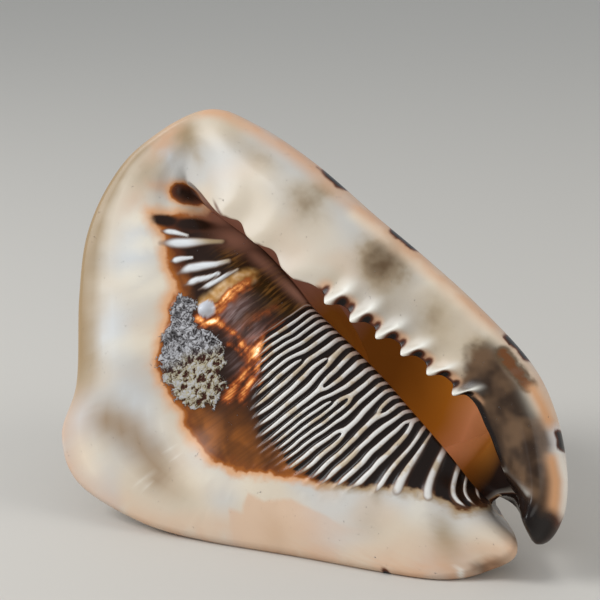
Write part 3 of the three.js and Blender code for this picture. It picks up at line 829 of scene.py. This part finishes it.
def mark_callus(face):
    """The warm rims, the tan spots with painted shade between the teeth, the painted shade of the shield's
    valley, and the large soft clouds of the callus, some of them painted highlights.
    """
    s = face.s
    t = face.t
    rough = face.rough
    wide_rim = within(s, SHIELD_START, 15, 18.5, 20)
    lip_rim = np.where(s < 14, 1 - smooth(s, 5, 6), smooth(s, 26.5, 28))
    rim = 1 - smooth(t + 0.03 * rough, -0.03, lerp(0.08, 0.22, np.maximum(wide_rim, 0.6 * lip_rim)))
    left = smooth(s, 22, 23.4) * (1 - 0.6 * smooth(s, 26, 28))
    warm_rim = rim * (0.6 + 0.3 * lip_rim + 0.5 * rough) * (1 - 0.8 * left)
    patch = smooth(depth_in_outline(*face.swayed(0.8), WARM_OUTLINE), -0.6, 1.2) * face.shield
    patch = 0.6 * patch * lerp(0.15, 1, smooth(face.y + 4 * rough, 34, 62))
    warm = np.maximum.reduce([warm_rim, patch, spots(*face.swayed(), WARM_SPOTS)])
    face.masks["warm"] = np.clip(warm, 0, 1)
    # Painted shade in the valleys between the ridges of the teeth
    ridges = np.minimum(1, tooth_at(hooked(s, t) + 0.03, TEETH, RIDGE_WIDTH))
    valleys = 0.42 * (1 - ridges) * within(s, *TOOTHED) * smooth(t, 0.5, 0.85)
    margin = left * (1 - smooth(t + 0.015 * rough, 0, 0.09))
    tan = np.maximum.reduce([spots(*face.swayed(), TAN), valleys, margin])
    face.masks["tan"] = np.clip(tan, 0, 1)
    # Cool spots, some of them painted highlights
    face.masks["cool"] = spots(*face.swayed(), COOL)
    # Painted shade in the shield's valley
    face.on_shield("shade", along_path(*face.swayed(), VALLEY, VALLEY_WIDTH))
    scars = [bell(np.hypot(face.x - x, face.y - y) - SCAR_SIZE, SCAR_WIDTH) for x, y in ROUND_SCARS]
    face.on_shield("scar", np.maximum.reduce(scars))


def fork_turns(x, y):
    """Adds to the count of folds so that one more starts at each fork."""
    return sum(way * np.arctan2(y - fork_y, x - fork_x) for fork_x, fork_y, way in FORKS) / (2 * np.pi)


def add_folds(face):
    """Raises the folds, and keeps what the material needs to colour them."""
    s = face.s
    points = face.points
    v = np.clip((face.t - MID_AT) / (1 - MID_AT), 0, 1)
    origin = fold_origin(s, v)
    wander = (0.25 * lumps(points, 20, 3) + 0.05 * lumps(points, 8, 4)) * np.sin(np.pi * v) ** 0.5
    counted = read_off(origin, FOLD_COUNTS) + wander * smooth(origin, 16.5, 18)
    turns = 2 * np.pi * (counted + fork_turns(face.x, face.y)) + np.pi
    start = 0.01 + 0.05 * lumps(points, 6, 6) + 0.3 * smooth(s, 19.5, FOLDS_TO)
    width = within(s, FOLDS_FROM, FOLDS_FROM + 0.4, FOLDS_TO - 0.6, FOLDS_TO) * smooth(v, start, start + 0.24)
    width = width * read_off(origin, FOLD_WIDTHS)
    wave = np.clip(0.5 + 0.5 * np.cos(turns), 0, 1) ** lerp(2.6, 1.4, smooth(origin, 16.9, 17.6))
    height = wave * np.sqrt(width) * lerp(1, 0.35, smooth(v, 0.86, 1))
    shape = bpy.context.scene.shell_shape
    points[..., 2] += shape.fold_height / MM * (height + UPPER_SHARE * face.masks["upper_fold"])
    face.masks.update(
        fold_x=np.cos(turns), fold_y=np.sin(turns), fold_width=width, fold_end=smooth(v, 0.86, 0.99),
        flow_x=counted, flow_y=v)


def add_relief(face):
    """Raises the crust, the pearl and the rolled margin, and sinks the pit."""
    points = face.points
    crumbs = lace(points, 3.2, 5)
    points[..., 2] += face.masks["crust"] * (0.3 + 0.55 * crumbs + 0.4 * lumps(points, 6, 7))
    pearl = np.hypot(face.x - PEARL[0], face.y - PEARL[1]) / PEARL_SIZE
    points[..., 2] += PEARL_SIZE * np.sqrt(np.clip(1 - pearl ** 2, 0, 1))
    points[..., 2] -= PIT_DEPTH * face.pit
    margin = bell(face.t - 0.09, 0.07) - 0.8 * bell(face.t - 0.27, 0.1)
    points[..., 2] += MARGIN_ROLL * within(face.s, 19.5, 21, 23, 24.5) * margin
    face.masks.update(crumbs=crumbs, pearl=1 - smooth(pearl, 0.9, 1.15))


def round_seam(points, reach, passes):
    """Rounds the crease where the last column meets the first."""
    ring = np.concatenate([points[:, -reach - 2:-1], points[:, :reach + 2]], axis=1)
    for _ in range(passes):
        ring[:, 1:-1] = (ring[:, :-2] + 2 * ring[:, 1:-1] + ring[:, 2:]) / 4
    points[:, -reach - 2:-1] = ring[:, :reach + 1]
    points[:, :reach + 2] = ring[:, reach + 1:]
    points[:, -1] = points[:, 0]


def round_rows(points, centre, reach, passes, share=1):
    """Rounds a corner that runs along a row, by a share that may differ from column to column."""
    for _ in range(passes):
        part = points[centre - reach - 1:centre + reach + 2]
        rounded = (part[:-2] + 2 * part[1:-1] + part[2:]) / 4
        points[centre - reach:centre + reach + 1] = lerp(part[1:-1], rounded, share)


def shell_form():
    """The points of every row and column, with the masks that colour them."""
    s = spread(COLUMN_RUNS)
    edge_turn = spread(EDGE_RUNS)
    t = spread(FACE_RUNS)[1:]
    edge = edge_points(s, edge_turn)
    face = Face(
        np.concatenate([edge, face_points(s, t)]), s,
        np.concatenate([(edge_turn - 90) / 180 * EDGE_SHARE, t]))
    for step in (mark_patch, mark_black, mark_lip, mark_callus, add_relief, add_folds):
        step(face)
    end = tube_points(s, np.array([float(TUBE_END)]))
    end[:] = end[0, :-1].mean(axis=0)
    sections = {
        "back": back_points(s, spread(BACK_RUNS)),
        "flange": flange_points(s, FLANGE_SHARES),
        "edge": edge,
        "face": face.points[len(edge):],
        "throat": throat_points(s, spread(THROAT_RUNS)[1:-1], face.points[-1]),
        "tube": tube_points(s, spread(TUBE_RUNS)),
        "end": end,
    }
    points = np.concatenate(list(sections.values()))
    rows_before = np.cumsum([0] + [len(section) for section in sections.values()])
    starts = {name: int(row) for name, row in zip(sections, rows_before)}
    round_rows(points, starts["flange"], *FLANGE_ROUNDING)
    round_rows(points, starts["throat"] - 1, *THROAT_ROUNDING)
    middle = starts["face"] + int(np.searchsorted(t, MID_AT))
    plain = 1 - within(s, FOLDS_FROM - 1, FOLDS_FROM, FOLDS_TO, FOLDS_TO + 1)
    round_rows(points, middle, *MIDDLE_ROUNDING, plain[:, None])
    round_seam(points, *SEAM_ROUNDING)

    masks = {}
    for name, mask in face.masks.items():
        masks[name] = np.full(points.shape[:2], NO_STAIN if name == "stain" else 0.0)
        masks[name][starts["edge"]:starts["throat"]] = mask
    rows = np.arange(len(points))[:, None] + np.zeros(len(s))
    turn = np.radians(turn_of(points))
    masks.update(
        outside=1 - smooth(rows, starts["edge"], starts["edge"] + 4),
        inside=smooth(rows, starts["throat"] - 1.5, starts["throat"] + 0.5),
        mouth_x=points[..., 0], mouth_y=points[..., 1],
        coil_x=np.cos(turn), coil_y=np.sin(turn), coil_u=APEX_Y - points[..., 1])
    return points, masks


def standing():
    """The turn from the shell's own frame to the one in which it stands."""
    yaw, lean, roll = (math.radians(value) for value in (TURNED_LEFT, LEAN_BACK, ROLLED))
    out = np.array([-math.sin(yaw) * math.cos(lean), -math.cos(yaw) * math.cos(lean), math.sin(lean)])
    up = np.array([math.sin(yaw) * math.sin(lean), math.cos(yaw) * math.sin(lean), math.cos(lean)])
    side = np.cross(up, out)
    x = side * math.cos(roll) + up * math.sin(roll)
    y = up * math.cos(roll) - side * math.sin(roll)
    return np.stack([x, y, out], axis=1)


def place_in_frame(points):
    """Turns the shell as it stands and sets it in the frame's box, in metres."""
    placed = points @ standing().T * MM
    low = placed.reshape(-1, 3).min(axis=0)
    high = placed.reshape(-1, 3).max(axis=0)
    box_low, box_high = (np.array(corner) for corner in CAD_BOX)
    shift = (box_low + box_high - low - high) / 2
    shift[2] = box_high[2] - high[2]
    placed += shift
    placed[..., 2] = np.maximum(placed[..., 2], box_low[2])
    return placed


# Points nearer than this are joined, and shorter edges are closed, in metres
JOIN_WITHIN = 2e-6
SHORTEST_EDGE = 1e-7


def grid_piece(name, points, masks):
    """A closed piece from a grid: its first and last columns meet, and its end rows are poles."""
    rows, columns = points.shape[:2]
    bm = bmesh.new()
    bmesh.ops.create_grid(bm, x_segments=columns - 1, y_segments=rows - 1, size=1)
    layers = {mask: bm.verts.layers.float.new(mask) for mask in masks}
    for vert in bm.verts:
        column = round((vert.co.x + 1) / 2 * (columns - 1))
        row = round((vert.co.y + 1) / 2 * (rows - 1))
        vert.co = points[row, column]
        for mask, layer in layers.items():
            vert[layer] = masks[mask][row, column]
    bmesh.ops.remove_doubles(bm, verts=bm.verts, dist=JOIN_WITHIN)
    bmesh.ops.dissolve_degenerate(bm, edges=bm.edges, dist=SHORTEST_EDGE)
    bmesh.ops.recalc_face_normals(bm, faces=bm.faces)
    mesh = bpy.data.meshes.new(name)
    bm.to_mesh(mesh)
    bm.free()
    mesh.shade_smooth()
    piece = bpy.data.objects.new(name, mesh)
    bpy.context.scene.collection.objects.link(piece)
    return piece


class Wire:
    """What a node gives out. Sums and products of wires add the nodes that work them out."""

    def __init__(self, graph, socket):
        self.graph = graph
        self.socket = socket

    def __add__(self, other):
        return self.graph.maths("ADD", self, other)

    def __sub__(self, other):
        return self.graph.maths("SUBTRACT", self, other)

    def __rsub__(self, other):
        return self.graph.maths("SUBTRACT", other, self)

    def __mul__(self, other):
        return self.graph.maths("MULTIPLY", self, other)

    def __truediv__(self, other):
        return self.graph.maths("DIVIDE", self, other)


class Graph:
    """Adds nodes to a material and joins them."""

    def __init__(self, name):
        self.material = bpy.data.materials.new(name)
        self.material.use_nodes = True
        self.tree = self.material.node_tree
        self.shader = self.tree.nodes["Principled BSDF"]
        self.place = self.add("TexCoord", "Object", {})

    def set(self, socket, value):
        if isinstance(value, Wire):
            self.tree.links.new(value.socket, socket)
        elif hasattr(value, "__len__") and len(value) == 3 and socket.type == "RGBA":
            socket.default_value = (*value, 1)
        else:
            socket.default_value = value

    def add(self, kind, output, inputs, **settings):
        """Adds a node with its inputs and settings, and returns what it gives out."""
        node = self.tree.nodes.new("ShaderNode" + kind)
        for name, value in settings.items():
            setattr(node, name, value)
        for at, value in inputs.items():
            self.set(node.inputs[at], value)
        return Wire(self, node.outputs[output])

    def maths(self, operation, a, b=0.0):
        return self.add("Math", 0, {0: a, 1: b}, operation=operation)

    def mask(self, name):
        return self.add("Attribute", "Fac", {}, attribute_name=name)

    def between(self, value, low, high, to_low=0.0, to_high=1.0):
        inputs = dict(enumerate((value, low, high, to_low, to_high)))
        return self.add("MapRange", 0, inputs, interpolation_type="SMOOTHSTEP")

    def layer(self, below, above, amount):
        return self.add("Mix", 2, {0: amount, 6: below, 7: above}, data_type="RGBA")

    def cover(self, ground, *layers):
        """The ground under some layers, each a colour and how much there is of it."""
        for colour, amount in layers:
            ground = self.layer(ground, colour, amount)
        return ground

    def point(self, x, y, z=0.0):
        return self.add("CombineXYZ", 0, {0: x, 1: y, 2: z})

    def grain(self, size, detail=3.0, roughness=0.5, twist=0.0, place=None):
        """Noise whose lumps are about size millimetres."""
        inputs = {
            "Vector": place or self.place, "Scale": 1 / (size * MM), "Detail": detail,
            "Roughness": roughness, "Distortion": twist}
        return self.add("TexNoise", "Fac", inputs)

    def ramp(self, value, stops):
        colour = self.add("ValToRGB", "Color", {0: value})
        elements = colour.socket.node.color_ramp.elements
        while len(elements) < len(stops):
            elements.new(0.5)
        for element, (at, tone) in zip(elements, stops):
            element.position = at
            element.color = (*tone, 1)
        return colour

    def bump(self, height, distance, below=None):
        inputs = {"Height": height, "Distance": distance * MM}
        if below:
            inputs["Normal"] = below
        return self.add("Bump", "Normal", inputs)


def callus_layers(g, colours):
    """The pale ground of the shield and the lip, with its shades, smudges and black marks, painted highlights
    and painted shade.
    """
    smudge = g.mask("smudge") * g.between(g.grain(7, 2.0), 0.3, 0.75, 0.75, 1.0)
    mottled = g.layer(
        colours.mottle_dark, colours.mottle_pale, g.between(g.grain(12, 2.0), 0.4, 0.66))
    patchy = g.mask("mottle") + (g.grain(9, 1.0) - 0.5) * 0.5
    rust = g.mask("rust") * g.between(g.grain(3, 2.0), 0.3, 0.6, 0.6, 1.0)
    black = g.mask("black")
    fringe = g.layer(colours.red_brown, colours.mottle_dark, g.mask("mottle"))
    return g.cover(
        colours.cream,
        (colours.cool_cream, g.between(g.grain(40, 1.0), 0.42, 0.6)),
        (colours.blush, g.between(g.grain(30, 1.0, twist=0.4), 0.5, 0.68) * 0.4),
        # Cool spots, some of them painted highlights
        (colours.cool, g.mask("cool") * 0.85),
        # Pale spots, one of them a painted highlight on the bulge
        (colours.margin, g.mask("pale") * 0.7),
        # Tan spots, with painted shade between the teeth and on the lower lip
        (colours.tan, g.mask("tan")),
        # Painted shade in the shield's valley
        (colours.shade, g.mask("shade") * 0.9),
        (colours.tan, g.between(smudge, 0.0, 0.55, 0.0, 0.75)),
        (colours.smudge, g.between(smudge, 0.2, 0.95)),
        (mottled, g.between(patchy, 0.1, 0.9)),
        # Painted highlight along the lip's outer margin
        (colours.margin, g.mask("margin_highlight") * 0.85),
        (colours.peach, g.mask("warm") * 0.8),
        (colours.smudge, g.between(rust, 0.05, 0.45, 0.0, 0.9)),
        (colours.rust, g.between(rust, 0.4, 0.8)),
        (colours.cool, g.mask("grey_bar") * 0.7),
        (colours.peach, g.between(g.mask("halo"), 0.1, 1.0, 0.0, 0.85)),
        (colours.tooth, g.mask("white")),
        (colours.stain_edge, g.mask("glow_strip")),
        (colours.tooth, g.mask("scar") * 0.3),
        (fringe, g.between(black, 0.08, 0.5)),
        (colours.black, g.between(black, 0.35, 0.85)))


def stain_layers(g, colours, ground):
    """The brown patch, from its orange edge to its dark middle, with its softer parts."""
    streaks = g.grain(1000, 3.0, place=g.point(g.mask("flow_x") * 2.4, g.mask("flow_y") * 2.4))
    depth = g.mask("stain") + (g.grain(4, 3.0) - 0.5) * 0.15
    low = g.between(g.mask("mouth_y"), 70, 52)
    orange = g.ramp(depth, [
        (0.0, colours.stain_edge), (0.08, colours.rim_orange), (0.2, colours.red_brown),
        (0.45, colours.dark_brown)])
    brown = g.ramp(depth, [(0.0, colours.tan), (0.1, colours.olive_edge), (0.25, colours.dark_brown)])
    clouds = g.between(g.grain(13, 2.0, twist=0.6), 0.4, 0.6, 0.5, 1.0)
    amber = g.mask("amber") * g.between(streaks, 0.25, 0.6, 0.7, 1.0) * clouds
    fibre = g.between(streaks, 0.46, 0.64) * g.mask("olive")
    lilac = g.layer(colours.lilac_dark, colours.lilac, g.between(streaks, 0.42, 0.66))
    stained = g.cover(
        orange,
        (brown, low * 0.85),
        (colours.amber, amber * g.between(depth, 0.0, 0.12)),
        (colours.olive, g.mask("olive")),
        (colours.gold_dark, fibre * 0.75),
        (lilac, g.mask("lilac")),
        (colours.rosy_brown, g.mask("rosy") * 0.9),
        (colours.dark_brown, g.between(g.mask("dark_upper"), 0.3, 0.8)))
    halo = g.layer(colours.stain_edge, colours.tan, low * 0.9)
    golden = g.ramp(g.grain(3.2, 1.0), [
        (0.25, colours.gold_dark), (0.5, colours.gold), (0.8, colours.gold_pale)])
    colour = g.cover(
        ground,
        (halo, g.between(depth, -0.3, 0.02, 0.0, 0.8)),
        (stained, g.between(depth, -0.12, 0.1)),
        (golden, g.between(g.mask("gold"), 0.15, 0.85)))
    return colour, streaks


def fold_layers(g, colours, colour):
    """White ridges with dark furrows, and the broader ones above them."""
    x = g.mask("fold_x")
    y = g.mask("fold_y")
    wave = x / g.maths("MAXIMUM", g.maths("SQRT", x * x + y * y), 0.05)
    width = g.mask("fold_width")
    over = wave - (1.0 - width * 1.15)
    white = g.between(over, 0.0, 0.5) * g.between(width, 0.02, 0.2)
    furrow = g.between(wave, 0.3, -0.3) * g.between(width, 0.1, 0.38)
    ridge = g.cover(
        colours.ridge_white,
        (colours.ridge_gold, g.between(g.grain(7, 3.0), 0.48, 0.64) * 0.75),
        (colours.ridge_end, g.mask("fold_end")))
    ridge = g.layer(colours.ridge_side, ridge, g.between(over, 0.12, 0.75))
    upper = g.mask("upper_fold")
    top = g.layer(colours.upper_white, colours.ridge_gold, g.between(g.mask("mouth_x"), 2, 9))
    return g.cover(
        colour,
        (colours.furrow, furrow * g.between(g.mask("stain"), 0, 0.15)),
        (ridge, white),
        (colours.ridge_side, g.between(upper, 0.1, 0.42, 0.0, 0.8)),
        (top, g.between(upper, 0.22, 0.88)))


def crust_layers(g, colours, colour):
    """Grey lace over dark holes, yellower in its lower half."""
    crumbs = g.mask("crumbs")
    strands = crumbs * 0.14 + g.grain(1.9, 3.0, 0.62, twist=1.8)
    upper = g.ramp(strands, [
        (0.42, colours.crust_dark), (0.57, colours.crust_grey), (0.7, colours.crust_light)])
    lower = g.ramp(strands + crumbs * 0.12, [
        (0.54, colours.crust_red), (0.6, colours.crust_brown), (0.67, colours.crust_yellow),
        (0.84, colours.crust_light)])
    amount = g.between(g.mask("crust") + (strands - 0.56) * 1.6, 0.4, 0.6)
    return g.layer(colour, g.layer(upper, lower, g.mask("low_crust")), amount), amount, strands


def glow_layers(g, colours, colour, streaks):
    """Orange veins, with how much they glow as painted light shining through, for the emission."""
    flicker = g.between(g.grain(3.5, 3.0, 0.6), 0.34, 0.6, 0.6, 1.0)
    vein_glow = g.mask("vein") * (flicker * g.between(streaks, 0.35, 0.6, 0.6, 1.0))
    vein_colour = g.ramp(vein_glow, [
        (0.05, colours.red_brown), (0.32, colours.vein_red), (0.62, colours.vein_orange),
        (0.9, colours.vein_bright)])
    return g.layer(colour, vein_colour, g.between(vein_glow, 0.02, 0.4)), g.between(vein_glow, 0.3, 1.0)


# Colour of the hollow, painted light and shade: from where to where along the mouth, and at which Y each
# colour lies
INSIDE_FROM = 15
INSIDE_TO = 155
INSIDE_STOPS = [
    (20, "black"), (31, "inside_brown"), (45, "inside_pink"), (62, "inside_orange"),
    (88, "inside_brown"), (112, "inside_brown"), (126, "rosy_brown"), (150, "rosy_brown"),
]


def inside_colour(g, colours):
    """The hollow in painted light and shade: purple brown at its narrow end, orange where light falls in,
    black shade below.
    """
    span = INSIDE_TO - INSIDE_FROM
    along = g.mask("mouth_y") + (g.grain(26, 1.0) - 0.5) * 14
    stops = [((at - INSIDE_FROM) / span, getattr(colours, name)) for at, name in INSIDE_STOPS]
    return g.ramp((along - INSIDE_FROM) / span, stops)


# Markings of the outside: the radius of the ring that their noise runs on, how long one unit
# along the axis counts for blotches and for growth lines, and how far apart bands and cords lie
RING = 62
BLOTCH_ALONG = 1.6
LINE_ALONG = 0.12
BAND_STEP = 29
CORD_STEP = 6.5


def outside_layers(g, colours):
    """The back: tan with rows of brown blotches and fine growth lines."""
    x = g.mask("coil_x") * (RING * MM)
    y = g.mask("coil_y") * (RING * MM)
    along = g.mask("coil_u")
    blotches = g.grain(13, 2.0, place=g.point(x, y, along * (BLOTCH_ALONG * MM)))
    growth_lines = g.grain(1.6, 3.0, place=g.point(x, y, along * (LINE_ALONG * MM)))
    bands = g.maths("SINE", along * (2 * math.pi / BAND_STEP)) * 0.08
    cords = g.maths("SINE", along * (2 * math.pi / CORD_STEP))
    colour = g.cover(
        colours.outside_tan,
        (colours.outside_pale, g.between(g.grain(35, 2.0), 0.4, 0.62)),
        (colours.outside_brown, g.between(blotches + bands, 0.54, 0.64)),
        (colours.outside_brown, g.between(growth_lines, 0.5, 0.75, 0.0, 0.3)))
    return colour, growth_lines + cords * 0.25


def shell_material(colours):
    """Glossy callus with stained, ridged and crusted parts, and a duller outside."""
    g = Graph("shell")
    inside = g.mask("inside")
    outside = g.mask("outside")
    colour, streaks = stain_layers(g, colours, callus_layers(g, colours))
    colour, vein_glow = glow_layers(g, colours, colour, streaks)
    colour = fold_layers(g, colours, colour)
    colour, crusted, strands = crust_layers(g, colours, colour)
    back, back_height = outside_layers(g, colours)
    colour = g.cover(
        colour, (colours.pearl, g.mask("pearl")), (inside_colour(g, colours), inside), (back, outside))
    low_relief = g.bump(back_height * outside, 0.5, g.bump(strands * crusted, 0.9))
    looks = {
        "Base Color": colour,
        "Specular IOR Level": 0.2,
        "Roughness": g.between(outside, 0, 1, 0.27, 0.5) + crusted * 0.6 + inside * 0.2,
        "Emission Color": colour,
        # Emission paints glow: the veins, where light shines through, and the hollow
        "Emission Strength": vein_glow * 0.8 + inside * 0.22,
        "Normal": g.bump(g.grain(14, 1.0), 0.35, low_relief),
    }
    for name, value in looks.items():
        g.set(g.shader.inputs[name], value)
    return g.material


class ShellShape(bpy.types.PropertyGroup):
    fold_height: bpy.props.FloatProperty(
        name="Fold height", description="How far the white ridges stand up",
        default=1.1 * MM, min=0, unit="LENGTH")
    tooth_height: bpy.props.FloatProperty(
        name="Tooth height", description="How far the teeth of the lip stand up",
        default=2.2 * MM, min=0, unit="LENGTH")


COLOURS = {
    "cream": ("Callus", (0.67, 0.57, 0.45)),
    "cool_cream": ("Cooler clouds in the callus", (0.58, 0.55, 0.51)),
    # cool: bluish grey spots of the callus and the lip's grey bar; two of the spots are painted highlights
    "cool": ("Bluish grey spots of the callus", (0.66, 0.68, 0.70)),
    "blush": ("Warmer clouds in the callus", (0.66, 0.48, 0.34)),
    "peach": ("Rims and warm patches", (0.66, 0.36, 0.20)),
    # tan: olive tan marks, and the painted shade between the teeth and on the lower lip
    "tan": ("Olive tan spots of the callus", (0.34, 0.24, 0.13)),
    # shade: painted shade in the shield's valley
    "shade": ("Grey brown valley of the shield", (0.34, 0.23, 0.14)),
    # margin: the pale spots, and the painted highlight along the lip's outer margin
    "margin": ("Bright strip along the lip", (0.90, 0.80, 0.64)),
    "smudge": ("Olive brown smudges of the lip", (0.115, 0.068, 0.034)),
    "mottle_dark": ("Lower end of the lip", (0.038, 0.02, 0.011)),
    "mottle_pale": ("Paler parts of that end", (0.15, 0.085, 0.046)),
    "rust": ("Rust coloured bar and strip of the lip", (0.17, 0.06, 0.018)),
    "tooth": ("Teeth of the lip", (0.86, 0.82, 0.74)),
    "black": ("Spots, bars and the tip of the lip", (0.009, 0.005, 0.004)),
    "stain_edge": ("Glow round the brown patch", (0.72, 0.37, 0.18)),
    "rim_orange": ("Edge of the brown patch", (0.38, 0.11, 0.016)),
    "red_brown": ("Just inside that edge", (0.12, 0.03, 0.009)),
    "dark_brown": ("Middle of the brown patch", (0.022, 0.009, 0.005)),
    "olive_edge": ("Edge of the patch below the ridges", (0.07, 0.036, 0.018)),
    "amber": ("Lighter brown parts of the patch", (0.36, 0.11, 0.018)),
    "olive": ("Olive brown by the mouth", (0.034, 0.017, 0.004)),
    "lilac": ("Pale streaks beside the pearl", (0.36, 0.25, 0.24)),
    "lilac_dark": ("Between those streaks", (0.13, 0.065, 0.055)),
    "rosy_brown": ("Inner wall of the mouth", (0.32, 0.15, 0.10)),
    "gold_dark": ("Furrows of the golden band", (0.30, 0.13, 0.03)),
    "gold": ("Golden band", (0.60, 0.32, 0.10)),
    "gold_pale": ("Brightest of the golden band", (0.90, 0.62, 0.36)),
    "furrow": ("Between the ridges", (0.012, 0.006, 0.004)),
    "ridge_white": ("White ridges", (0.80, 0.77, 0.73)),
    "upper_white": ("Broad folds above the crust", (0.84, 0.85, 0.86)),
    "ridge_gold": ("Golden stretches of the ridges", (0.56, 0.42, 0.25)),
    "ridge_side": ("Sides of the ridges", (0.18, 0.105, 0.07)),
    "ridge_end": ("Ridges at the mouth", (0.33, 0.22, 0.175)),
    "vein_red": ("Edges of the veins", (0.40, 0.085, 0.016)),
    "vein_orange": ("Veins by the crust", (0.88, 0.36, 0.10)),
    # vein_bright: the painted glow at the heart of the veins
    "vein_bright": ("Hottest part of the veins", (1.0, 0.82, 0.58)),
    "crust_dark": ("Holes of the upper crust", (0.016, 0.013, 0.013)),
    "crust_red": ("Holes of the lower crust", (0.05, 0.013, 0.007)),
    "crust_grey": ("Body of the crust", (0.16, 0.15, 0.155)),
    "crust_brown": ("Edges of the holes", (0.13, 0.09, 0.06)),
    "crust_light": ("Raised parts of the upper crust", (0.52, 0.51, 0.53)),
    "crust_yellow": ("Raised parts of the lower crust", (0.44, 0.375, 0.235)),
    "pearl": ("The pearl beside the crust", (0.62, 0.63, 0.68)),
    # inside colours: painted light and shade of the hollow, which also glows by emission
    "inside_brown": ("Depth of the mouth", (0.25, 0.09, 0.012)),
    "inside_orange": ("Lit part of the mouth", (0.50, 0.19, 0.02)),
    "inside_pink": ("Brightest part of the mouth", (0.66, 0.30, 0.14)),
    "outside_tan": ("Back of the shell", (0.56, 0.42, 0.28)),
    "outside_pale": ("Paler parts of the back", (0.68, 0.56, 0.43)),
    "outside_brown": ("Blotches on the back", (0.22, 0.11, 0.05)),
}


def colour_property(name, description, value):
    label = name.replace("_", " ").capitalize()
    return bpy.props.FloatVectorProperty(
        name=label, description=description, default=value, subtype="COLOR", size=3, min=0, max=1)


class ShellColours(bpy.types.PropertyGroup):
    __annotations__ = {name: colour_property(name, *about) for name, about in COLOURS.items()}


class MESH_OT_helmet_shell(bpy.types.Operator):
    """Grow the helmet shell in place of its plain solid"""
    bl_idname = "mesh.helmet_shell"
    bl_label = "Grow Shell"

    def execute(self, context):
        points, masks = shell_form()
        piece = grid_piece("shell", place_in_frame(points), masks)
        piece.data.materials.append(shell_material(context.scene.shell_colours))
        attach(piece, "root")
        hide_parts("helmet_shell")
        return {"FINISHED"}


# Camera and light, in metres, with the object at the origin
CAMERA_AT = (-0.0016, -0.7053, 0.2579)
CAMERA_TARGET = (-0.0016, -0.0552, 0.0958)
CAMERA_SPAN = math.radians(17.81)
LIGHT_TARGET = (0, 0, 0.07)

# Lights: name, place, size, power in watts, colour
LIGHTS = [
    ("window", (-1.25, -0.25, 1.0), 0.9, 18, (0.95, 0.98, 1)),
    ("fill", (1.2, -0.5, 0.9), 1.0, 5.5, (1, 0.97, 0.92)),
]
SKY_COLOUR = (0.74, 0.79, 0.83, 1)
SKY_STRENGTH = 0.62
FLOOR_SIZE = 6
FLOOR_COLOUR = (0.62, 0.58, 0.53)
FLOOR_ROUGHNESS = 0.7


def aimed(obj, place, target):
    obj.location = place
    obj.rotation_euler = (Vector(target) - Vector(place)).to_track_quat("-Z", "Y").to_euler()
    bpy.context.scene.collection.objects.link(obj)


def soft_light(name, place, size, power, colour):
    light = bpy.data.lights.new(name, "AREA")
    light.shape = "DISK"
    light.size = size
    light.energy = power
    light.color = colour
    aimed(bpy.data.objects.new(name, light), place, LIGHT_TARGET)


class SCENE_OT_shell_stage(bpy.types.Operator):
    """Set the pale floor, the soft light and the camera"""
    bl_idname = "scene.shell_stage"
    bl_label = "Set Stage"

    def execute(self, context):
        bm = bmesh.new()
        bmesh.ops.create_grid(bm, x_segments=1, y_segments=1, size=FLOOR_SIZE)
        mesh = bpy.data.meshes.new("floor")
        bm.to_mesh(mesh)
        bm.free()
        floor = bpy.data.objects.new("floor", mesh)
        context.scene.collection.objects.link(floor)
        pale = Graph("floor")
        pale.set(pale.shader.inputs["Base Color"], FLOOR_COLOUR)
        pale.set(pale.shader.inputs["Roughness"], FLOOR_ROUGHNESS)
        mesh.materials.append(pale.material)

        for light in LIGHTS:
            soft_light(*light)
        world = bpy.data.worlds.new("sky")
        world.use_nodes = True
        sky = world.node_tree.nodes["Background"].inputs
        sky["Color"].default_value = SKY_COLOUR
        sky["Strength"].default_value = SKY_STRENGTH
        context.scene.world = world
        context.scene.view_settings.view_transform = "Standard"

        camera = bpy.data.cameras.new("camera")
        camera.sensor_fit = "HORIZONTAL"
        camera.angle = CAMERA_SPAN
        holder = bpy.data.objects.new("camera", camera)
        aimed(holder, CAMERA_AT, CAMERA_TARGET)
        context.scene.camera = holder
        return {"FINISHED"}


class VIEW3D_PT_helmet_shell(bpy.types.Panel):
    bl_label = "Helmet Shell"
    bl_space_type = "VIEW_3D"
    bl_region_type = "UI"
    bl_category = "Shell"

    def draw(self, context):
        for settings in (context.scene.shell_shape, context.scene.shell_colours):
            for name in settings.__annotations__:
                self.layout.prop(settings, name)
        self.layout.operator("mesh.helmet_shell")
        self.layout.operator("scene.shell_stage")


CLASSES = (ShellShape, ShellColours, MESH_OT_helmet_shell, SCENE_OT_shell_stage, VIEW3D_PT_helmet_shell)


def register():
    for cls in CLASSES:
        bpy.utils.register_class(cls)
    bpy.types.Scene.shell_shape = bpy.props.PointerProperty(type=ShellShape)
    bpy.types.Scene.shell_colours = bpy.props.PointerProperty(type=ShellColours)


def unregister():
    del bpy.types.Scene.shell_colours
    del bpy.types.Scene.shell_shape
    for cls in reversed(CLASSES):
        bpy.utils.unregister_class(cls)


def main():
    register()
    bpy.ops.mesh.helmet_shell()
    bpy.ops.scene.shell_stage()


if __name__ == "__main__":
    main()
